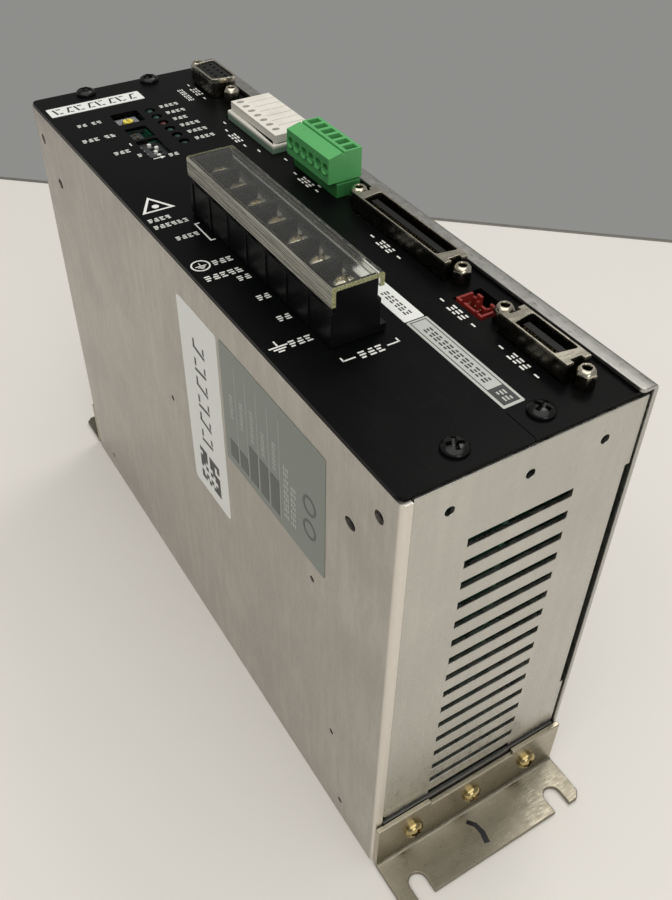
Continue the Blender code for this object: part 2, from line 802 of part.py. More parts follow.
def make_cn5(green):
    plug_x, plug_y, header_x = cn5_layout()
    make_header("cn5_header", header_x, plug_y, CN5_HEADER_HEIGHT, HEADER_WALL, green)
    shoulder = CASE_DEPTH + CN5_HEADER_HEIGHT + GAP
    top = CASE_DEPTH + CN5_HEIGHT
    left, right = plug_x
    profile = [
        (left, shoulder),
        (right, shoulder),
        (right, top),
        (left + 5.0, top),
        (left + 5.0, top - 0.8),
        (left + 4.4, top - 0.8),
        (left + 4.4, top - 0.1),
        (left, top - 1.2),
    ]
    mesh = bmesh.new()
    add_prism(mesh, "Y", profile, *plug_y)
    plug = make_piece("cn5_plug", mesh, green)
    add_insertion(plug, *header_cavity(header_x, plug_y, HEADER_WALL), shoulder)
    cuts = bmesh.new()
    for index in range(CN5_POLES):
        y = plug_y[1] - PLUG_PITCH / 2 - index * PLUG_PITCH
        add_prism(cuts, "Z", rectangle(right - 4.7, right - 1.0, y - 1.3, y + 1.3), top - 4.5, top + 1)
        add_prism(cuts, "X", circle(y, CASE_DEPTH + CN5_WELL_HEIGHT, 1.45, 10), left - 1, left + 3)
    cut(plug, "wire_ways", cuts)


# Shielded connectors


def add_jack(name, x, y, steel):
    corner = JACK_FLATS / 2 / math.cos(math.pi / 6)
    profile = [
        (JACK_SHANK, -PANEL_SHEET - 2.5),
        (JACK_SHANK, 0.0),
        (corner, 0.0),
        (corner, JACK_HEIGHT - GAP - 0.4),
        (0.88 * corner, JACK_HEIGHT - GAP),
        (JACK_BORE, JACK_HEIGHT - GAP),
        (JACK_BORE, 1.0),
    ]
    mesh = bmesh.new()
    centre = (x, y, CASE_DEPTH + GAP)
    add_turned(mesh, "Z", centre, profile, 6)
    make_piece(name, mesh, steel, centre)


def ribbon_layout(contacts):
    """Half the socket's length, half the shell's length and the jackscrews' distance from the centre."""
    half_row = contacts / 2 * CONTACT_PITCH / 2
    return half_row + 1.35, half_row + 4.85, half_row + 7.35


def make_ribbon_connector(name, x, y, contacts, nickel, black):
    """A metal-shelled socket with a central tongue and a hexagonal jackscrew at each end."""
    half_socket, half_shell, jack = ribbon_layout(contacts)
    half_width = SHELL_WIDTH / 2
    fork = 1.2
    outline = [
        (x - half_width, y - half_shell),
        (x - 1.6, y - half_shell),
        (x - 1.6, y - half_shell + fork),
        (x + 1.6, y - half_shell + fork),
        (x + 1.6, y - half_shell),
        (x + half_width, y - half_shell),
        (x + half_width, y + half_shell),
        (x + 1.6, y + half_shell),
        (x + 1.6, y + half_shell - fork),
        (x - 1.6, y + half_shell - fork),
        (x - 1.6, y + half_shell),
        (x - half_width, y + half_shell),
    ]
    low = CASE_DEPTH - SHELL_DEPTH
    mesh = bmesh.new()
    add_prism(mesh, "Z", outline, low, CASE_DEPTH + SHELL_HEIGHT)
    shell = make_piece(f"{name}_shell", mesh, nickel)
    socket = bmesh.new()
    opening = trapezoid(x, y, SOCKET_WIDTH, 2 * half_socket, 1.0, 0.5)
    add_prism(socket, "Z", opening, low - 1, CASE_DEPTH + SHELL_HEIGHT + 1)
    cut(shell, "socket", socket)
    base = SOCKET_WIDTH / 2 - GAP
    profile = [
        (x - base, low),
        (x + base, low),
        (x + base, CASE_DEPTH - SOCKET_SIDE),
        (x + TONGUE / 2, CASE_DEPTH - SOCKET_SIDE),
        (x + TONGUE / 2, CASE_DEPTH + SHELL_HEIGHT - 0.9),
        (x - TONGUE / 2, CASE_DEPTH + SHELL_HEIGHT - 0.9),
        (x - TONGUE / 2, CASE_DEPTH - SOCKET_SIDE),
        (x - base, CASE_DEPTH - SOCKET_SIDE),
    ]
    half_insert = half_socket - 1.5
    mesh = bmesh.new()
    add_prism(mesh, "Y", profile, y - half_insert, y + half_insert)
    make_piece(f"{name}_insert", mesh, black)
    for number, end in enumerate((-1, 1), 1):
        add_jack(f"{name}_jackscrew_{number}", x, y + end * jack, nickel)


def ribbon_cuts(x, y, contacts):
    """The panel's cut-outs for such a connector."""
    half_shell, jack = ribbon_layout(contacts)[1:]
    window = box_about(x, y, SHELL_WIDTH + 2 * GAP, 2 * half_shell + 2 * GAP)
    holes = [circle(x, y + end * (jack + 0.25), JACK_CLEARANCE) for end in (-1, 1)]
    return [window] + holes


def cn1_place():
    return HALF_WIDTH - CN1_FROM_RIGHT, HALF_LENGTH - CN1_FROM_TOP


def make_cn1(nickel, black):
    x, y = cn1_place()
    taper = 1.3
    radius = 1.6
    flange_width, flange_length, flange_sheet = CN1_FLANGE
    flange_top = SHELF
    top = CASE_DEPTH + CN1_HEIGHT
    mesh = bmesh.new()
    flange = filleted(box_about(x, y, flange_width, flange_length), {0: 1.5, 1: 1.5, 2: 1.5, 3: 1.5}, 2)
    add_prism(mesh, "Z", flange, flange_top - flange_sheet, flange_top)
    shell = make_piece("cn1_shell", mesh, nickel)
    tube = bmesh.new()
    add_prism(tube, "Z", trapezoid(x, y, CN1_WIDTH, CN1_LENGTH, taper, radius), flange_top - 0.4, top)
    join(shell, "tube", tube)
    bore = bmesh.new()
    inner = trapezoid(x, y, CN1_WIDTH - 2 * CN1_WALL, CN1_LENGTH - 2 * CN1_WALL, taper, radius - 0.5)
    add_prism(bore, "Z", inner, flange_top - 3, top + 1)
    for end in (-1, 1):
        hole = circle(x, y + end * CN1_SCREW_SPACING / 2, JACK_CLEARANCE)
        add_prism(bore, "Z", hole, flange_top - 3, flange_top + 1)
    cut(shell, "bores", bore)
    clearance = 2 * (CN1_WALL + GAP)
    mesh = bmesh.new()
    face = trapezoid(x, y, CN1_WIDTH - clearance, CN1_LENGTH - clearance, taper, 0.9)
    add_prism(mesh, "Z", face, flange_top - 5, top - 0.3)
    insert = make_piece("cn1_insert", mesh, black)
    pins = bmesh.new()
    across, along = CN1_PIN_PITCH
    for row, count in ((1, 5), (-1, 4)):
        for index in range(count):
            pin_y = y + (index - (count - 1) / 2) * along
            add_prism(pins, "Z", circle(x + row * across / 2, pin_y, 0.6, 6), top - 3, top + 1)
    cut(insert, "contacts", pins)
    for number, end in enumerate((-1, 1), 1):
        add_jack(f"cn1_jackscrew_{number}", x, y + end * CN1_SCREW_SPACING / 2, nickel)


def cn1_cuts():
    x, y = cn1_place()
    window = trapezoid(x, y, CN1_WIDTH + 1.0, CN1_LENGTH + 1.0, 1.3, 2.0)
    holes = [circle(x, y + end * CN1_SCREW_SPACING / 2, JACK_CLEARANCE) for end in (-1, 1)]
    return [window] + holes


def cn3_place():
    return HALF_WIDTH - CN3_FROM_RIGHT, -HALF_LENGTH + CN3_FROM_BOTTOM


def cn3_window():
    """The cut-out leaves more room on the header's right than on its other sides."""
    x, y = cn3_place()
    half_width = CN3_SIZE[0] / 2
    half_length = CN3_SIZE[1] / 2 + CN3_WINDOW_MARGIN
    return rectangle(x - half_width - CN3_WINDOW_MARGIN, x + half_width + CN3_WINDOW_SIDE, y - half_length, y + half_length)


def make_cn3(red):
    x, y = cn3_place()
    width, length = CN3_SIZE
    top = CASE_DEPTH + 0.4
    mesh = bmesh.new()
    add_prism(mesh, "Z", box_about(x, y, width, length), CASE_DEPTH - CN3_DEPTH, top)
    header = make_piece("cn3_header", mesh, red)
    cavity = bmesh.new()
    opening = box_about(x, y, width - 2 * CN3_WALL, length - 2 * CN3_WALL)
    add_prism(cavity, "Z", opening, CASE_DEPTH - CN3_CAVITY, top + 1)
    cut(header, "socket", cavity)
    return header


# Switches and lamps


def rotary_place():
    return -HALF_WIDTH + ROTARY_FROM_LEFT, HALF_LENGTH - ROTARY_FROM_TOP


def selector_place():
    return -HALF_WIDTH + SELECTOR_FROM_LEFT, HALF_LENGTH - SELECTOR_FROM_TOP


def dip_place():
    return -HALF_WIDTH + DIP_FROM_LEFT, HALF_LENGTH - DIP_FROM_TOP


def led_places():
    x = -HALF_WIDTH + LED_FROM_LEFT
    first = HALF_LENGTH - LED_FROM_TOP
    return [(x, first - index * LED_PITCH) for index in range(LED_COUNT)]


def switch_windows():
    rotary_x, rotary_y = rotary_place()
    selector_x, selector_y = selector_place()
    dip_x, dip_y = dip_place()
    windows = [
        box_about(rotary_x, rotary_y, ROTARY_BODY + 1.7, ROTARY_BODY + 1.0),
        box_about(selector_x + 0.8, selector_y - 0.2, SELECTOR_SIZE[0] + 3.0, SELECTOR_SIZE[1] + 1.0),
        box_about(dip_x - 0.3, dip_y - 1.2, DIP_BODY[0] - 0.6, DIP_BODY[1] + 0.4),
    ]
    return [filleted(outline, {0: 0.6, 1: 0.6, 2: 0.6, 3: 0.6}, 2) for outline in windows]


def make_rotary_switch(grey, yellow):
    x, y = rotary_place()
    top = CASE_DEPTH - SWITCH_TOP_DROP
    mesh = bmesh.new()
    add_prism(mesh, "Z", box_about(x, y, ROTARY_BODY, ROTARY_BODY), DISPLAY_BOARD_TOP + GAP, top)
    body = make_piece("rotary_switch_body", mesh, grey)
    recess = bmesh.new()
    floor = top - 1.4
    add_prism(recess, "Z", circle(x, y, ROTOR_RADIUS + SHANK_CLEARANCE, 20), floor, top + 1)
    cut(body, "rotor_recess", recess)
    mesh = bmesh.new()
    face = CASE_DEPTH - ROTOR_TOP_DROP
    add_prism(mesh, "Z", circle(x, y, ROTOR_RADIUS, 20), floor + GAP, face)
    rotor = make_piece("rotary_switch_rotor", mesh, yellow, (x, y, floor), smooth=True)
    slot = bmesh.new()
    arrow = [(x - 0.45, y - 1.9), (x + 0.45, y - 1.9), (x + 0.45, y + 0.9), (x, y + 2.0), (x - 0.45, y + 0.9)]
    add_prism(slot, "Z", arrow, face - 0.8, face + 1)
    cut(rotor, "driver_slot", slot)


def make_selector(grey):
    x, y = selector_place()
    top = CASE_DEPTH - SWITCH_TOP_DROP
    mesh = bmesh.new()
    add_prism(mesh, "Z", box_about(x, y, *SELECTOR_SIZE), DISPLAY_BOARD_TOP + GAP, top)
    selector = make_piece("monitor_header", mesh, grey)
    sockets = bmesh.new()
    for index in (-1, 0, 1):
        add_prism(sockets, "Z", box_about(x, y + index * DIP_PITCH, 0.9, 0.9), top - 1.5, top + 1)
    cut(selector, "sockets", sockets)


def make_dip_switch(dark, white):
    x, y = dip_place()
    top = CASE_DEPTH - SWITCH_TOP_DROP
    pocket_length, pocket_width, pocket_depth = DIP_POCKET
    mesh = bmesh.new()
    add_prism(mesh, "Z", box_about(x, y, *DIP_BODY), DISPLAY_BOARD_TOP + GAP, top)
    body = make_piece("dip_switch_body", mesh, dark)
    pockets = bmesh.new()
    pocket_x = x + 0.8
    rows = [y - (index - (DIP_COUNT - 1) / 2) * DIP_PITCH for index in range(DIP_COUNT)]
    for row in rows:
        add_prism(pockets, "Z", box_about(pocket_x, row, pocket_length, pocket_width), top - pocket_depth, top + 1)
    cut(body, "pockets", pockets)
    for number, row in enumerate(rows, 1):
        shift = LEVER_TRAVEL if number in LEVERS_ON else 0.0
        lever_x = pocket_x - LEVER_TRAVEL / 2 + shift
        mesh = bmesh.new()
        lever = box_about(lever_x, row, LEVER, LEVER)
        add_prism(mesh, "Z", lever, top - pocket_depth + GAP, top + 0.6)
        make_piece(f"dip_lever_{number}", mesh, white, (lever_x, row, top - pocket_depth + GAP))


def make_status_leds(lens):
    places = led_places()
    x = places[0][0]
    low = DISPLAY_BOARD_TOP + GAP
    mesh = bmesh.new()
    strip = rectangle(x - 1.6, x + 1.6, places[-1][1] - 2.2, places[0][1] + 2.2)
    add_prism(mesh, "Z", strip, low, low + 1.0)
    leds = make_piece("status_leds", mesh, lens, smooth=True)
    domes = bmesh.new()
    height = CASE_DEPTH - LED_TOP_DROP - low
    profile = [(LED_RADIUS, 0.5), (LED_RADIUS, height - 0.6), (0.6 * LED_RADIUS, height)]
    for led_x, led_y in places:
        add_turned(domes, "Z", (led_x, led_y, low), profile, 10)
    join(leds, "domes", domes)


# Inside


def make_boards(green):
    dip_x, dip_y = dip_place()
    led_x = led_places()[0][0]
    rotary_y = rotary_place()[1]
    plain_box(
        "display_board",
        green,
        (dip_x - 6.0, led_x + 3.0),
        (dip_y - 9.0, rotary_y + 9.0),
        (DISPLAY_BOARD_TOP - BOARD, DISPLAY_BOARD_TOP),
    )
    ends = (-HALF_LENGTH + BOARD_END_MARGIN, HALF_LENGTH - BOARD_END_MARGIN)
    heights = (BOARD_LOW, CASE_DEPTH - BOARD_TOP_DROP)
    control_x = HALF_WIDTH - CONTROL_BOARD_FROM_RIGHT
    plain_box("control_board", green, (control_x, control_x + BOARD), ends, heights)
    plain_box("power_board", green, (POWER_BOARD_X, POWER_BOARD_X + BOARD), ends, heights)


def make_power_stage(alloy, black):
    """The finned heat sink on the left and the power module between it and the power board."""
    thickness, length, height = MODULE_SIZE
    module_right = POWER_BOARD_X - GAP
    module_left = module_right - thickness
    plain_box(
        "power_module", black, (module_left, module_right), (-length / 2, length / 2),
        (MODULE_LOW, MODULE_LOW + height),
    )
    base_right = module_left - GAP
    base_left = base_right - SINK_BASE
    tip = -HALF_WIDTH + SHEET + 1.0
    fin_pitch = (SINK_HEIGHT - FIN_SHEET) / (SINK_FINS - 1)
    top = SINK_LOW + SINK_HEIGHT
    profile = [(base_right, SINK_LOW), (base_right, top)]
    for index in range(SINK_FINS):
        high = top - index * fin_pitch
        low = high - FIN_SHEET
        if index:
            profile.append((base_left, high))
        profile += [(tip, high), (tip, low)]
        if index < SINK_FINS - 1:
            profile.append((base_left, low))
    mesh = bmesh.new()
    add_prism(mesh, "Y", profile, -SINK_LENGTH / 2, SINK_LENGTH / 2)
    make_piece("heat_sink", mesh, alloy)


def make_capacitors(sleeve):
    left = POWER_BOARD_X + BOARD
    right = HALF_WIDTH - CONTROL_BOARD_FROM_RIGHT
    x = (left + right) / 2
    radius = CAPACITOR_RADIUS
    profile = [
        (radius - 0.5, 0.0),
        (radius, 0.5),
        (radius, CAPACITOR_LENGTH - 1.0),
        (radius - 1.0, CAPACITOR_LENGTH),
    ]
    for number, end in enumerate((-1, 1), 1):
        mesh = bmesh.new()
        centre = (x, end * CAPACITOR_SPACING / 2, CAPACITOR_LOW)
        add_turned(mesh, "Z", centre, profile, 20)
        make_piece(f"bus_capacitor_{number}", mesh, sleeve, centre, smooth=True)


def main():
    clear_scene()
    aluminium = make_material("aluminium_sheet", (0.62, 0.61, 0.58), 0.38, 1.0)
    plated = make_material("plated_steel", (0.58, 0.55, 0.45), 0.32, 1.0)
    brass_plate = make_material("yellow_plated_screw", (0.62, 0.5, 0.24), 0.28, 1.0)
    nickel = make_material("nickel_plate", (0.6, 0.57, 0.5), 0.25, 1.0)
    black_paint = make_material("black_panel_paint", (0.012, 0.013, 0.014), 0.35)
    black_plastic = make_material("black_plastic", (0.01, 0.01, 0.011), 0.42)
    black_screw = make_material("black_screw", (0.02, 0.02, 0.021), 0.3, 0.6)
    clear = make_material("clear_acrylic", (0.85, 0.86, 0.78), 0.08, 0.0, 0.35)
    ivory = make_material("ivory_plastic", (0.8, 0.78, 0.7), 0.42)
    green = make_material("green_plastic", (0.1, 0.45, 0.16), 0.4)
    red = make_material("red_plastic", (0.45, 0.04, 0.03), 0.4)
    grey = make_material("grey_plastic", (0.3, 0.3, 0.32), 0.45)
    yellow = make_material("yellow_plastic", (0.85, 0.75, 0.15), 0.4)
    white = make_material("white_plastic", (0.85, 0.85, 0.82), 0.4)
    lens = make_material("led_lens", (0.25, 0.36, 0.3), 0.25)
    circuit = make_material("circuit_board", (0.03, 0.2, 0.1), 0.45)
    sleeve = make_material("capacitor_sleeve", (0.03, 0.04, 0.09), 0.35)

    ribbon = (
        ("cn2", HALF_WIDTH - CN2_FROM_RIGHT, -HALF_LENGTH + CN2_FROM_BOTTOM, CN2_CONTACTS),
        ("cn4", HALF_WIDTH - CN4_FROM_RIGHT, -HALF_LENGTH + CN4_FROM_BOTTOM, CN4_CONTACTS),
    )
    windows = switch_windows() + cn1_cuts()
    for _, y_range, header_x in (tb2_layout(), cn5_layout()):
        low_y, high_y = header_ends(y_range)
        windows.append(rectangle(header_x[0] - 0.5, header_x[1] + 0.5, low_y - 0.5, high_y + 0.5))
    windows.append(cn3_window())
    for _, x, y, contacts in ribbon:
        windows += ribbon_cuts(x, y, contacts)
    holes = [circle(x, y, LED_RADIUS + 0.4) for x, y in led_places()]

    make_rear_plate(aluminium)
    make_end_plate("bottom_end_plate", -1, aluminium)
    make_end_plate("top_end_plate", 1, aluminium)
    make_left_cover(aluminium)
    make_right_cover(aluminium)
    make_front_panel(black_paint, windows, holes)
    make_panel_screws(black_screw)
    make_bracket("bottom_bracket", -1, plated)
    make_bracket("top_bracket", 1, plated)
    make_bracket_screws(brass_plate)
    make_tb1_body(black_plastic)
    make_tb1_cover(clear)
    make_tb1_screws(nickel)
    make_tb2(ivory)
    make_cn5(green)
    for name, x, y, contacts in ribbon:
        make_ribbon_connector(name, x, y, contacts, nickel, black_plastic)
    make_cn1(nickel, black_plastic)
    make_cn3(red)
    make_rotary_switch(grey, yellow)
    make_selector(grey)
    make_dip_switch(grey, white)
    make_status_leds(lens)
    make_boards(circuit)
    make_power_stage(aluminium, black_plastic)
    make_capacitors(sleeve)


main()
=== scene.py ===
import math

import bmesh
import bpy
from mathutils import Euler, Matrix, Vector


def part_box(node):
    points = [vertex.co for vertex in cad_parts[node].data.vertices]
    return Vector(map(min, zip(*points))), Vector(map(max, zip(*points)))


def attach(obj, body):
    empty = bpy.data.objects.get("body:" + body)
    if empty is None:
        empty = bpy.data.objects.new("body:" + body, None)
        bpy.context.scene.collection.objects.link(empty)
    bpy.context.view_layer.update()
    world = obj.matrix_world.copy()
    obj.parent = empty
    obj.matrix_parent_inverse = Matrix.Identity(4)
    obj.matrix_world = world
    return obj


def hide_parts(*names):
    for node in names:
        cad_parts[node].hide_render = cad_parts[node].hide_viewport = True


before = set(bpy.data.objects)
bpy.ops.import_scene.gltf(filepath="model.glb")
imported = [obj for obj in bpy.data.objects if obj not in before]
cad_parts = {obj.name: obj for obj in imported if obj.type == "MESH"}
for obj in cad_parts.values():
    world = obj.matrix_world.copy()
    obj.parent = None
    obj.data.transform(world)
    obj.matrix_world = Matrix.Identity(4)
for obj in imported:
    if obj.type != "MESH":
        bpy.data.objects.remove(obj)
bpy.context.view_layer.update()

# Every size below is in millimetres, and MM turns it into the scene's metres. Angles are in degrees.
MM = 0.001

# The camera and the table, in the frame of the part
CAMERA_PLACE = (-111.59, -205.62, 280.23)
CAMERA_TURN = (47.364, -0.8, -31.749)
CAMERA_LENS = 38.275
TABLE_SIZE = 1500.0
TABLE_DEPTH = 20.0
TABLE_GAP = 0.05
TABLE_EDGE_POINT = (157.0, 236.0)
TABLE_EDGE_TURN = -41.2

# Counts and standard pitches of the terminals, the lamps and the connectors
TB1_POLES = 7
TB2_WAYS = 7
CN5_WAYS = 6
LAMPS = 6
RED_LAMP = 2
WAY_PITCH = 3.81
CONTACT_PITCH = 1.27
D_CONTACT_PITCH = 2.77
HEADER_PIN_PITCH = 2.54

# How far ink and stickers stand proud
RAISED = 0.06
STICKER = 0.12

# Printed legends: each letter is drawn as a small stack of dashes, so that no words are spelled
LETTER_PITCH = 1.68
LETTER_WIDTH = 1.2
LETTER_HEIGHT = 1.8
STROKE = 0.36

# How finely round shapes are drawn
TURNED_SIDES = 32
RING_STEPS = 28
SMOOTH_BELOW = 35
BEVEL_ABOVE = 30


def box_mm(node):
    low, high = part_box(node)
    return low / MM, high / MM


def centre_mm(node):
    low, high = box_mm(node)
    return (low + high) / 2


PANEL_TOP = box_mm("front_panel")[1].z
LEFT_FACE = box_mm("left_cover")[0].x


# Meshes, built in millimetres

PLANES = {"X": (1, 2, 0), "Y": (0, 2, 1), "Z": (0, 1, 2)}


def place(axis, a, b, along):
    first, second, third = PLANES[axis]
    point = [0.0, 0.0, 0.0]
    point[first] = a
    point[second] = b
    point[third] = along
    return point


def rectangle(low_a, high_a, low_b, high_b):
    return [(low_a, low_b), (high_a, low_b), (high_a, high_b), (low_a, high_b)]


def box_about(a, b, size_a, size_b):
    return rectangle(a - size_a / 2, a + size_a / 2, b - size_b / 2, b + size_b / 2)


def circle(a, b, radius, sides=24, turn=0.5):
    """A many-sided outline. Its first point lies turn steps past the first axis."""
    angles = [2 * math.pi * (step + turn) / sides for step in range(sides)]
    return [(a + radius * math.cos(angle), b + radius * math.sin(angle)) for angle in angles]


def rounded(points, radius, segments=5):
    """The outline with every corner turned into an arc."""
    result = []
    for index, point in enumerate(points):
        corner = Vector(point)
        back = (Vector(points[index - 1]) - corner).normalized()
        ahead = (Vector(points[(index + 1) % len(points)]) - corner).normalized()
        half = back.angle(ahead) / 2
        centre = corner + (back + ahead).normalized() * (radius / math.sin(half))
        start = corner + back * (radius / math.tan(half)) - centre
        sweep = start.angle_signed(corner + ahead * (radius / math.tan(half)) - centre)
        for step in range(segments + 1):
            turn = Matrix.Rotation(-sweep * step / segments, 2)
            result.append(tuple(centre + turn @ start))
    return result


def arc_band(a, b, inner, outer, start, sweep, count=10):
    """An outline that follows an arc between two radii."""
    angles = [math.radians(start + sweep * step / count) for step in range(count + 1)]
    out = [(a + outer * math.cos(t), b + outer * math.sin(t)) for t in angles]
    return out + [(a + inner * math.cos(t), b + inner * math.sin(t)) for t in reversed(angles)]


def trapezoid(a, b, width, length, taper):
    """A connector's D outline, with its shorter long side at low A."""
    return [
        (a - width / 2, b - length / 2 + taper),
        (a + width / 2, b - length / 2),
        (a + width / 2, b + length / 2),
        (a - width / 2, b + length / 2 - taper),
    ]


def add_prism(mesh, axis, outline, low, high, material=0):
    bottom = [mesh.verts.new(place(axis, a, b, low)) for a, b in outline]
    top = [mesh.verts.new(place(axis, a, b, high)) for a, b in outline]
    faces = [mesh.faces.new(bottom), mesh.faces.new(top)]
    for index, vert in enumerate(bottom):
        after = (index + 1) % len(bottom)
        faces.append(mesh.faces.new((vert, bottom[after], top[after], top[index])))
    for face in faces:
        face.material_index = material


def add_loft(mesh, axis, sections):
    """A closed solid through outlines of equal length. sections lists (outline, position along the axis)."""
    rings = [[mesh.verts.new(place(axis, a, b, along)) for a, b in outline] for outline, along in sections]
    mesh.faces.new(rings[0])
    mesh.faces.new(rings[-1])
    for lower, upper in zip(rings, rings[1:]):
        for index, vert in enumerate(lower):
            after = (index + 1) % len(lower)
            mesh.faces.new((vert, lower[after], upper[after], upper[index]))


def add_turned(mesh, centre, profile, sides=TURNED_SIDES):
    """A solid of revolution about Z. The profile lists (radius, height) from one end to the other."""
    x, y, z = centre
    add_loft(mesh, "Z", [(circle(x, y, radius, sides), z + height) for radius, height in profile])


def mesh_object(name, mesh, materials=()):
    bmesh.ops.recalc_face_normals(mesh, faces=mesh.faces)
    bmesh.ops.scale(mesh, vec=(MM, MM, MM), verts=mesh.verts)
    data = bpy.data.meshes.new(name)
    mesh.to_mesh(data)
    mesh.free()
    obj = bpy.data.objects.new(name, data)
    bpy.context.scene.collection.objects.link(obj)
    for material in materials:
        data.materials.append(material)
    return obj


def smooth(obj, angle=SMOOTH_BELOW):
    obj.data.shade_smooth()
    obj.data.set_sharp_from_angle(angle=math.radians(angle))


def bevel(obj, width, segments=2):
    modifier = obj.modifiers.new("bevel", "BEVEL")
    modifier.width = width * MM
    modifier.segments = segments
    modifier.limit_method = "ANGLE"
    modifier.angle_limit = math.radians(BEVEL_ABOVE)
    modifier.harden_normals = True
    modifier.use_clamp_overlap = True


def cut(obj, mesh):
    """Cuts the solids in mesh from the object."""
    tool = mesh_object(obj.name + ".tool", mesh)
    modifier = obj.modifiers.new("cut", "BOOLEAN")
    modifier.operation = "DIFFERENCE"
    modifier.object = tool
    settle(obj)
    bpy.data.objects.remove(tool, do_unlink=True)


def settle(obj):
    """Makes the modifiers' result the object's own mesh."""
    graph = bpy.context.evaluated_depsgraph_get()
    settled = bpy.data.meshes.new_from_object(obj.evaluated_get(graph))
    obj.modifiers.clear()
    obj.data = settled


def finish_piece(obj, body="case", replaces=(), edge=0.0, segments=2, sharp=SMOOTH_BELOW):
    """Rounds a new piece's edges, hangs it on the body that it rides on and hides the CAD nodes that it
    stands for.
    """
    smooth(obj, sharp)
    if edge:
        bevel(obj, edge, segments)
    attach(obj, body)
    if replaces:
        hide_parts(*replaces)


def add_piece(name, mesh, material, edge=0.0, body="case", segments=2):
    """A new piece in one material, from a mesh in millimetres."""
    finish_piece(mesh_object(name, mesh, [material]), body, edge=edge, segments=segments)


def join_faces(obj, material):
    """Gives a CAD mesh its material, and joins its triangles into flat faces by modifiers."""
    obj.data.materials.clear()
    obj.data.materials.append(material)
    if "custom_normal" in obj.data.attributes:
        obj.data.attributes.remove(obj.data.attributes["custom_normal"])
    weld = obj.modifiers.new("weld", "WELD")
    weld.merge_threshold = 0.002 * MM
    flat = obj.modifiers.new("flat", "DECIMATE")
    flat.decimate_type = "DISSOLVE"
    flat.angle_limit = math.radians(0.5)


def dress(node, material, edge=0.2, segments=2):
    """Gives a CAD node its material, and rounds its edges without touching its own vertices."""
    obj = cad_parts[node]
    join_faces(obj, material)
    bevel(obj, edge, segments)
    obj.data.shade_smooth()


def rebuilt(node, name, material):
    """A clean copy of a CAD node's solid, ready for more shaping."""
    obj = bpy.data.objects.new(name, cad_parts[node].data.copy())
    bpy.context.scene.collection.objects.link(obj)
    join_faces(obj, material)
    settle(obj)
    return obj


# Materials


class Nodes:
    """A short way to write a material's node tree."""

    def __init__(self, name):
        self.material = bpy.data.materials.new(name)
        self.material.use_nodes = True
        self.tree = self.material.node_tree
        self.shader = self.tree.nodes["Principled BSDF"]
        self.coordinates = self.tree.nodes.new("ShaderNodeTexCoord").outputs["Object"]

    def link(self, source, target):
        if isinstance(source, bpy.types.NodeSocket):
            self.tree.links.new(source, target)
        else:
            target.default_value = source

    def feed(self, name, source):
        self.link(source, self.shader.inputs[name])

    def fix(self, name, number):
        """Sets a constant on the shader's own socket."""
        self.shader.inputs[name].default_value = number

    def noise(self, size, stretch=(1, 1, 1), detail=3.0, rough=0.55, shift=0.0):
        """Noise whose features are about size millimetres across, times stretch along each axis."""
        mapping = self.tree.nodes.new("ShaderNodeMapping")
        mapping.inputs["Scale"].default_value = [1 / (MM * size * part) for part in stretch]
        mapping.inputs["Location"].default_value = (shift, shift * 1.7, shift * 0.6)
        self.link(self.coordinates, mapping.inputs["Vector"])
        texture = self.tree.nodes.new("ShaderNodeTexNoise")
        texture.inputs["Scale"].default_value = 1.0
        texture.inputs["Detail"].default_value = detail
        texture.inputs["Roughness"].default_value = rough
        self.link(mapping.outputs["Vector"], texture.inputs["Vector"])
        return texture.outputs["Fac"]

    def spread(self, value, low, high, to_low=0.0, to_high=1.0):
        node = self.tree.nodes.new("ShaderNodeMapRange")
        node.interpolation_type = "SMOOTHSTEP"
        for name, number in (("From Min", low), ("From Max", high), ("To Min", to_low), ("To Max", to_high)):
            node.inputs[name].default_value = number
        self.link(value, node.inputs["Value"])
        return node.outputs["Result"]

    def maths(self, operation, first, second):
        node = self.tree.nodes.new("ShaderNodeMath")
        node.operation = operation
        self.link(first, node.inputs[0])
        self.link(second, node.inputs[1])
        return node.outputs[0]

    def mix(self, factor, first, second):
        """A colour between first and second, each a colour or a node's output."""
        node = self.tree.nodes.new("ShaderNodeMix")
        node.data_type = "RGBA"
        colours = [socket for socket in node.inputs if socket.type == "RGBA"]
        self.link(factor, node.inputs[0])
        for value, socket in zip((first, second), colours):
            self.link((*value, 1.0) if isinstance(value, tuple) else value, socket)
        return [socket for socket in node.outputs if socket.type == "RGBA"][0]

    def height(self, value, depth):
        """Bump from a height of the given depth in millimetres."""
        node = self.tree.nodes.new("ShaderNodeBump")
        node.inputs["Strength"].default_value = 1.0
        node.inputs["Distance"].default_value = depth * MM
        self.link(value, node.inputs["Height"])
        self.link(node.outputs["Normal"], self.shader.inputs["Normal"])

    def level(self, axis):
        """The height of a surface point along an axis, in metres."""
        split = self.tree.nodes.new("ShaderNodeSeparateXYZ")
        self.link(self.coordinates, split.inputs[0])
        return split.outputs[axis]


def darker(colour, share):
    return tuple(part * share for part in colour)


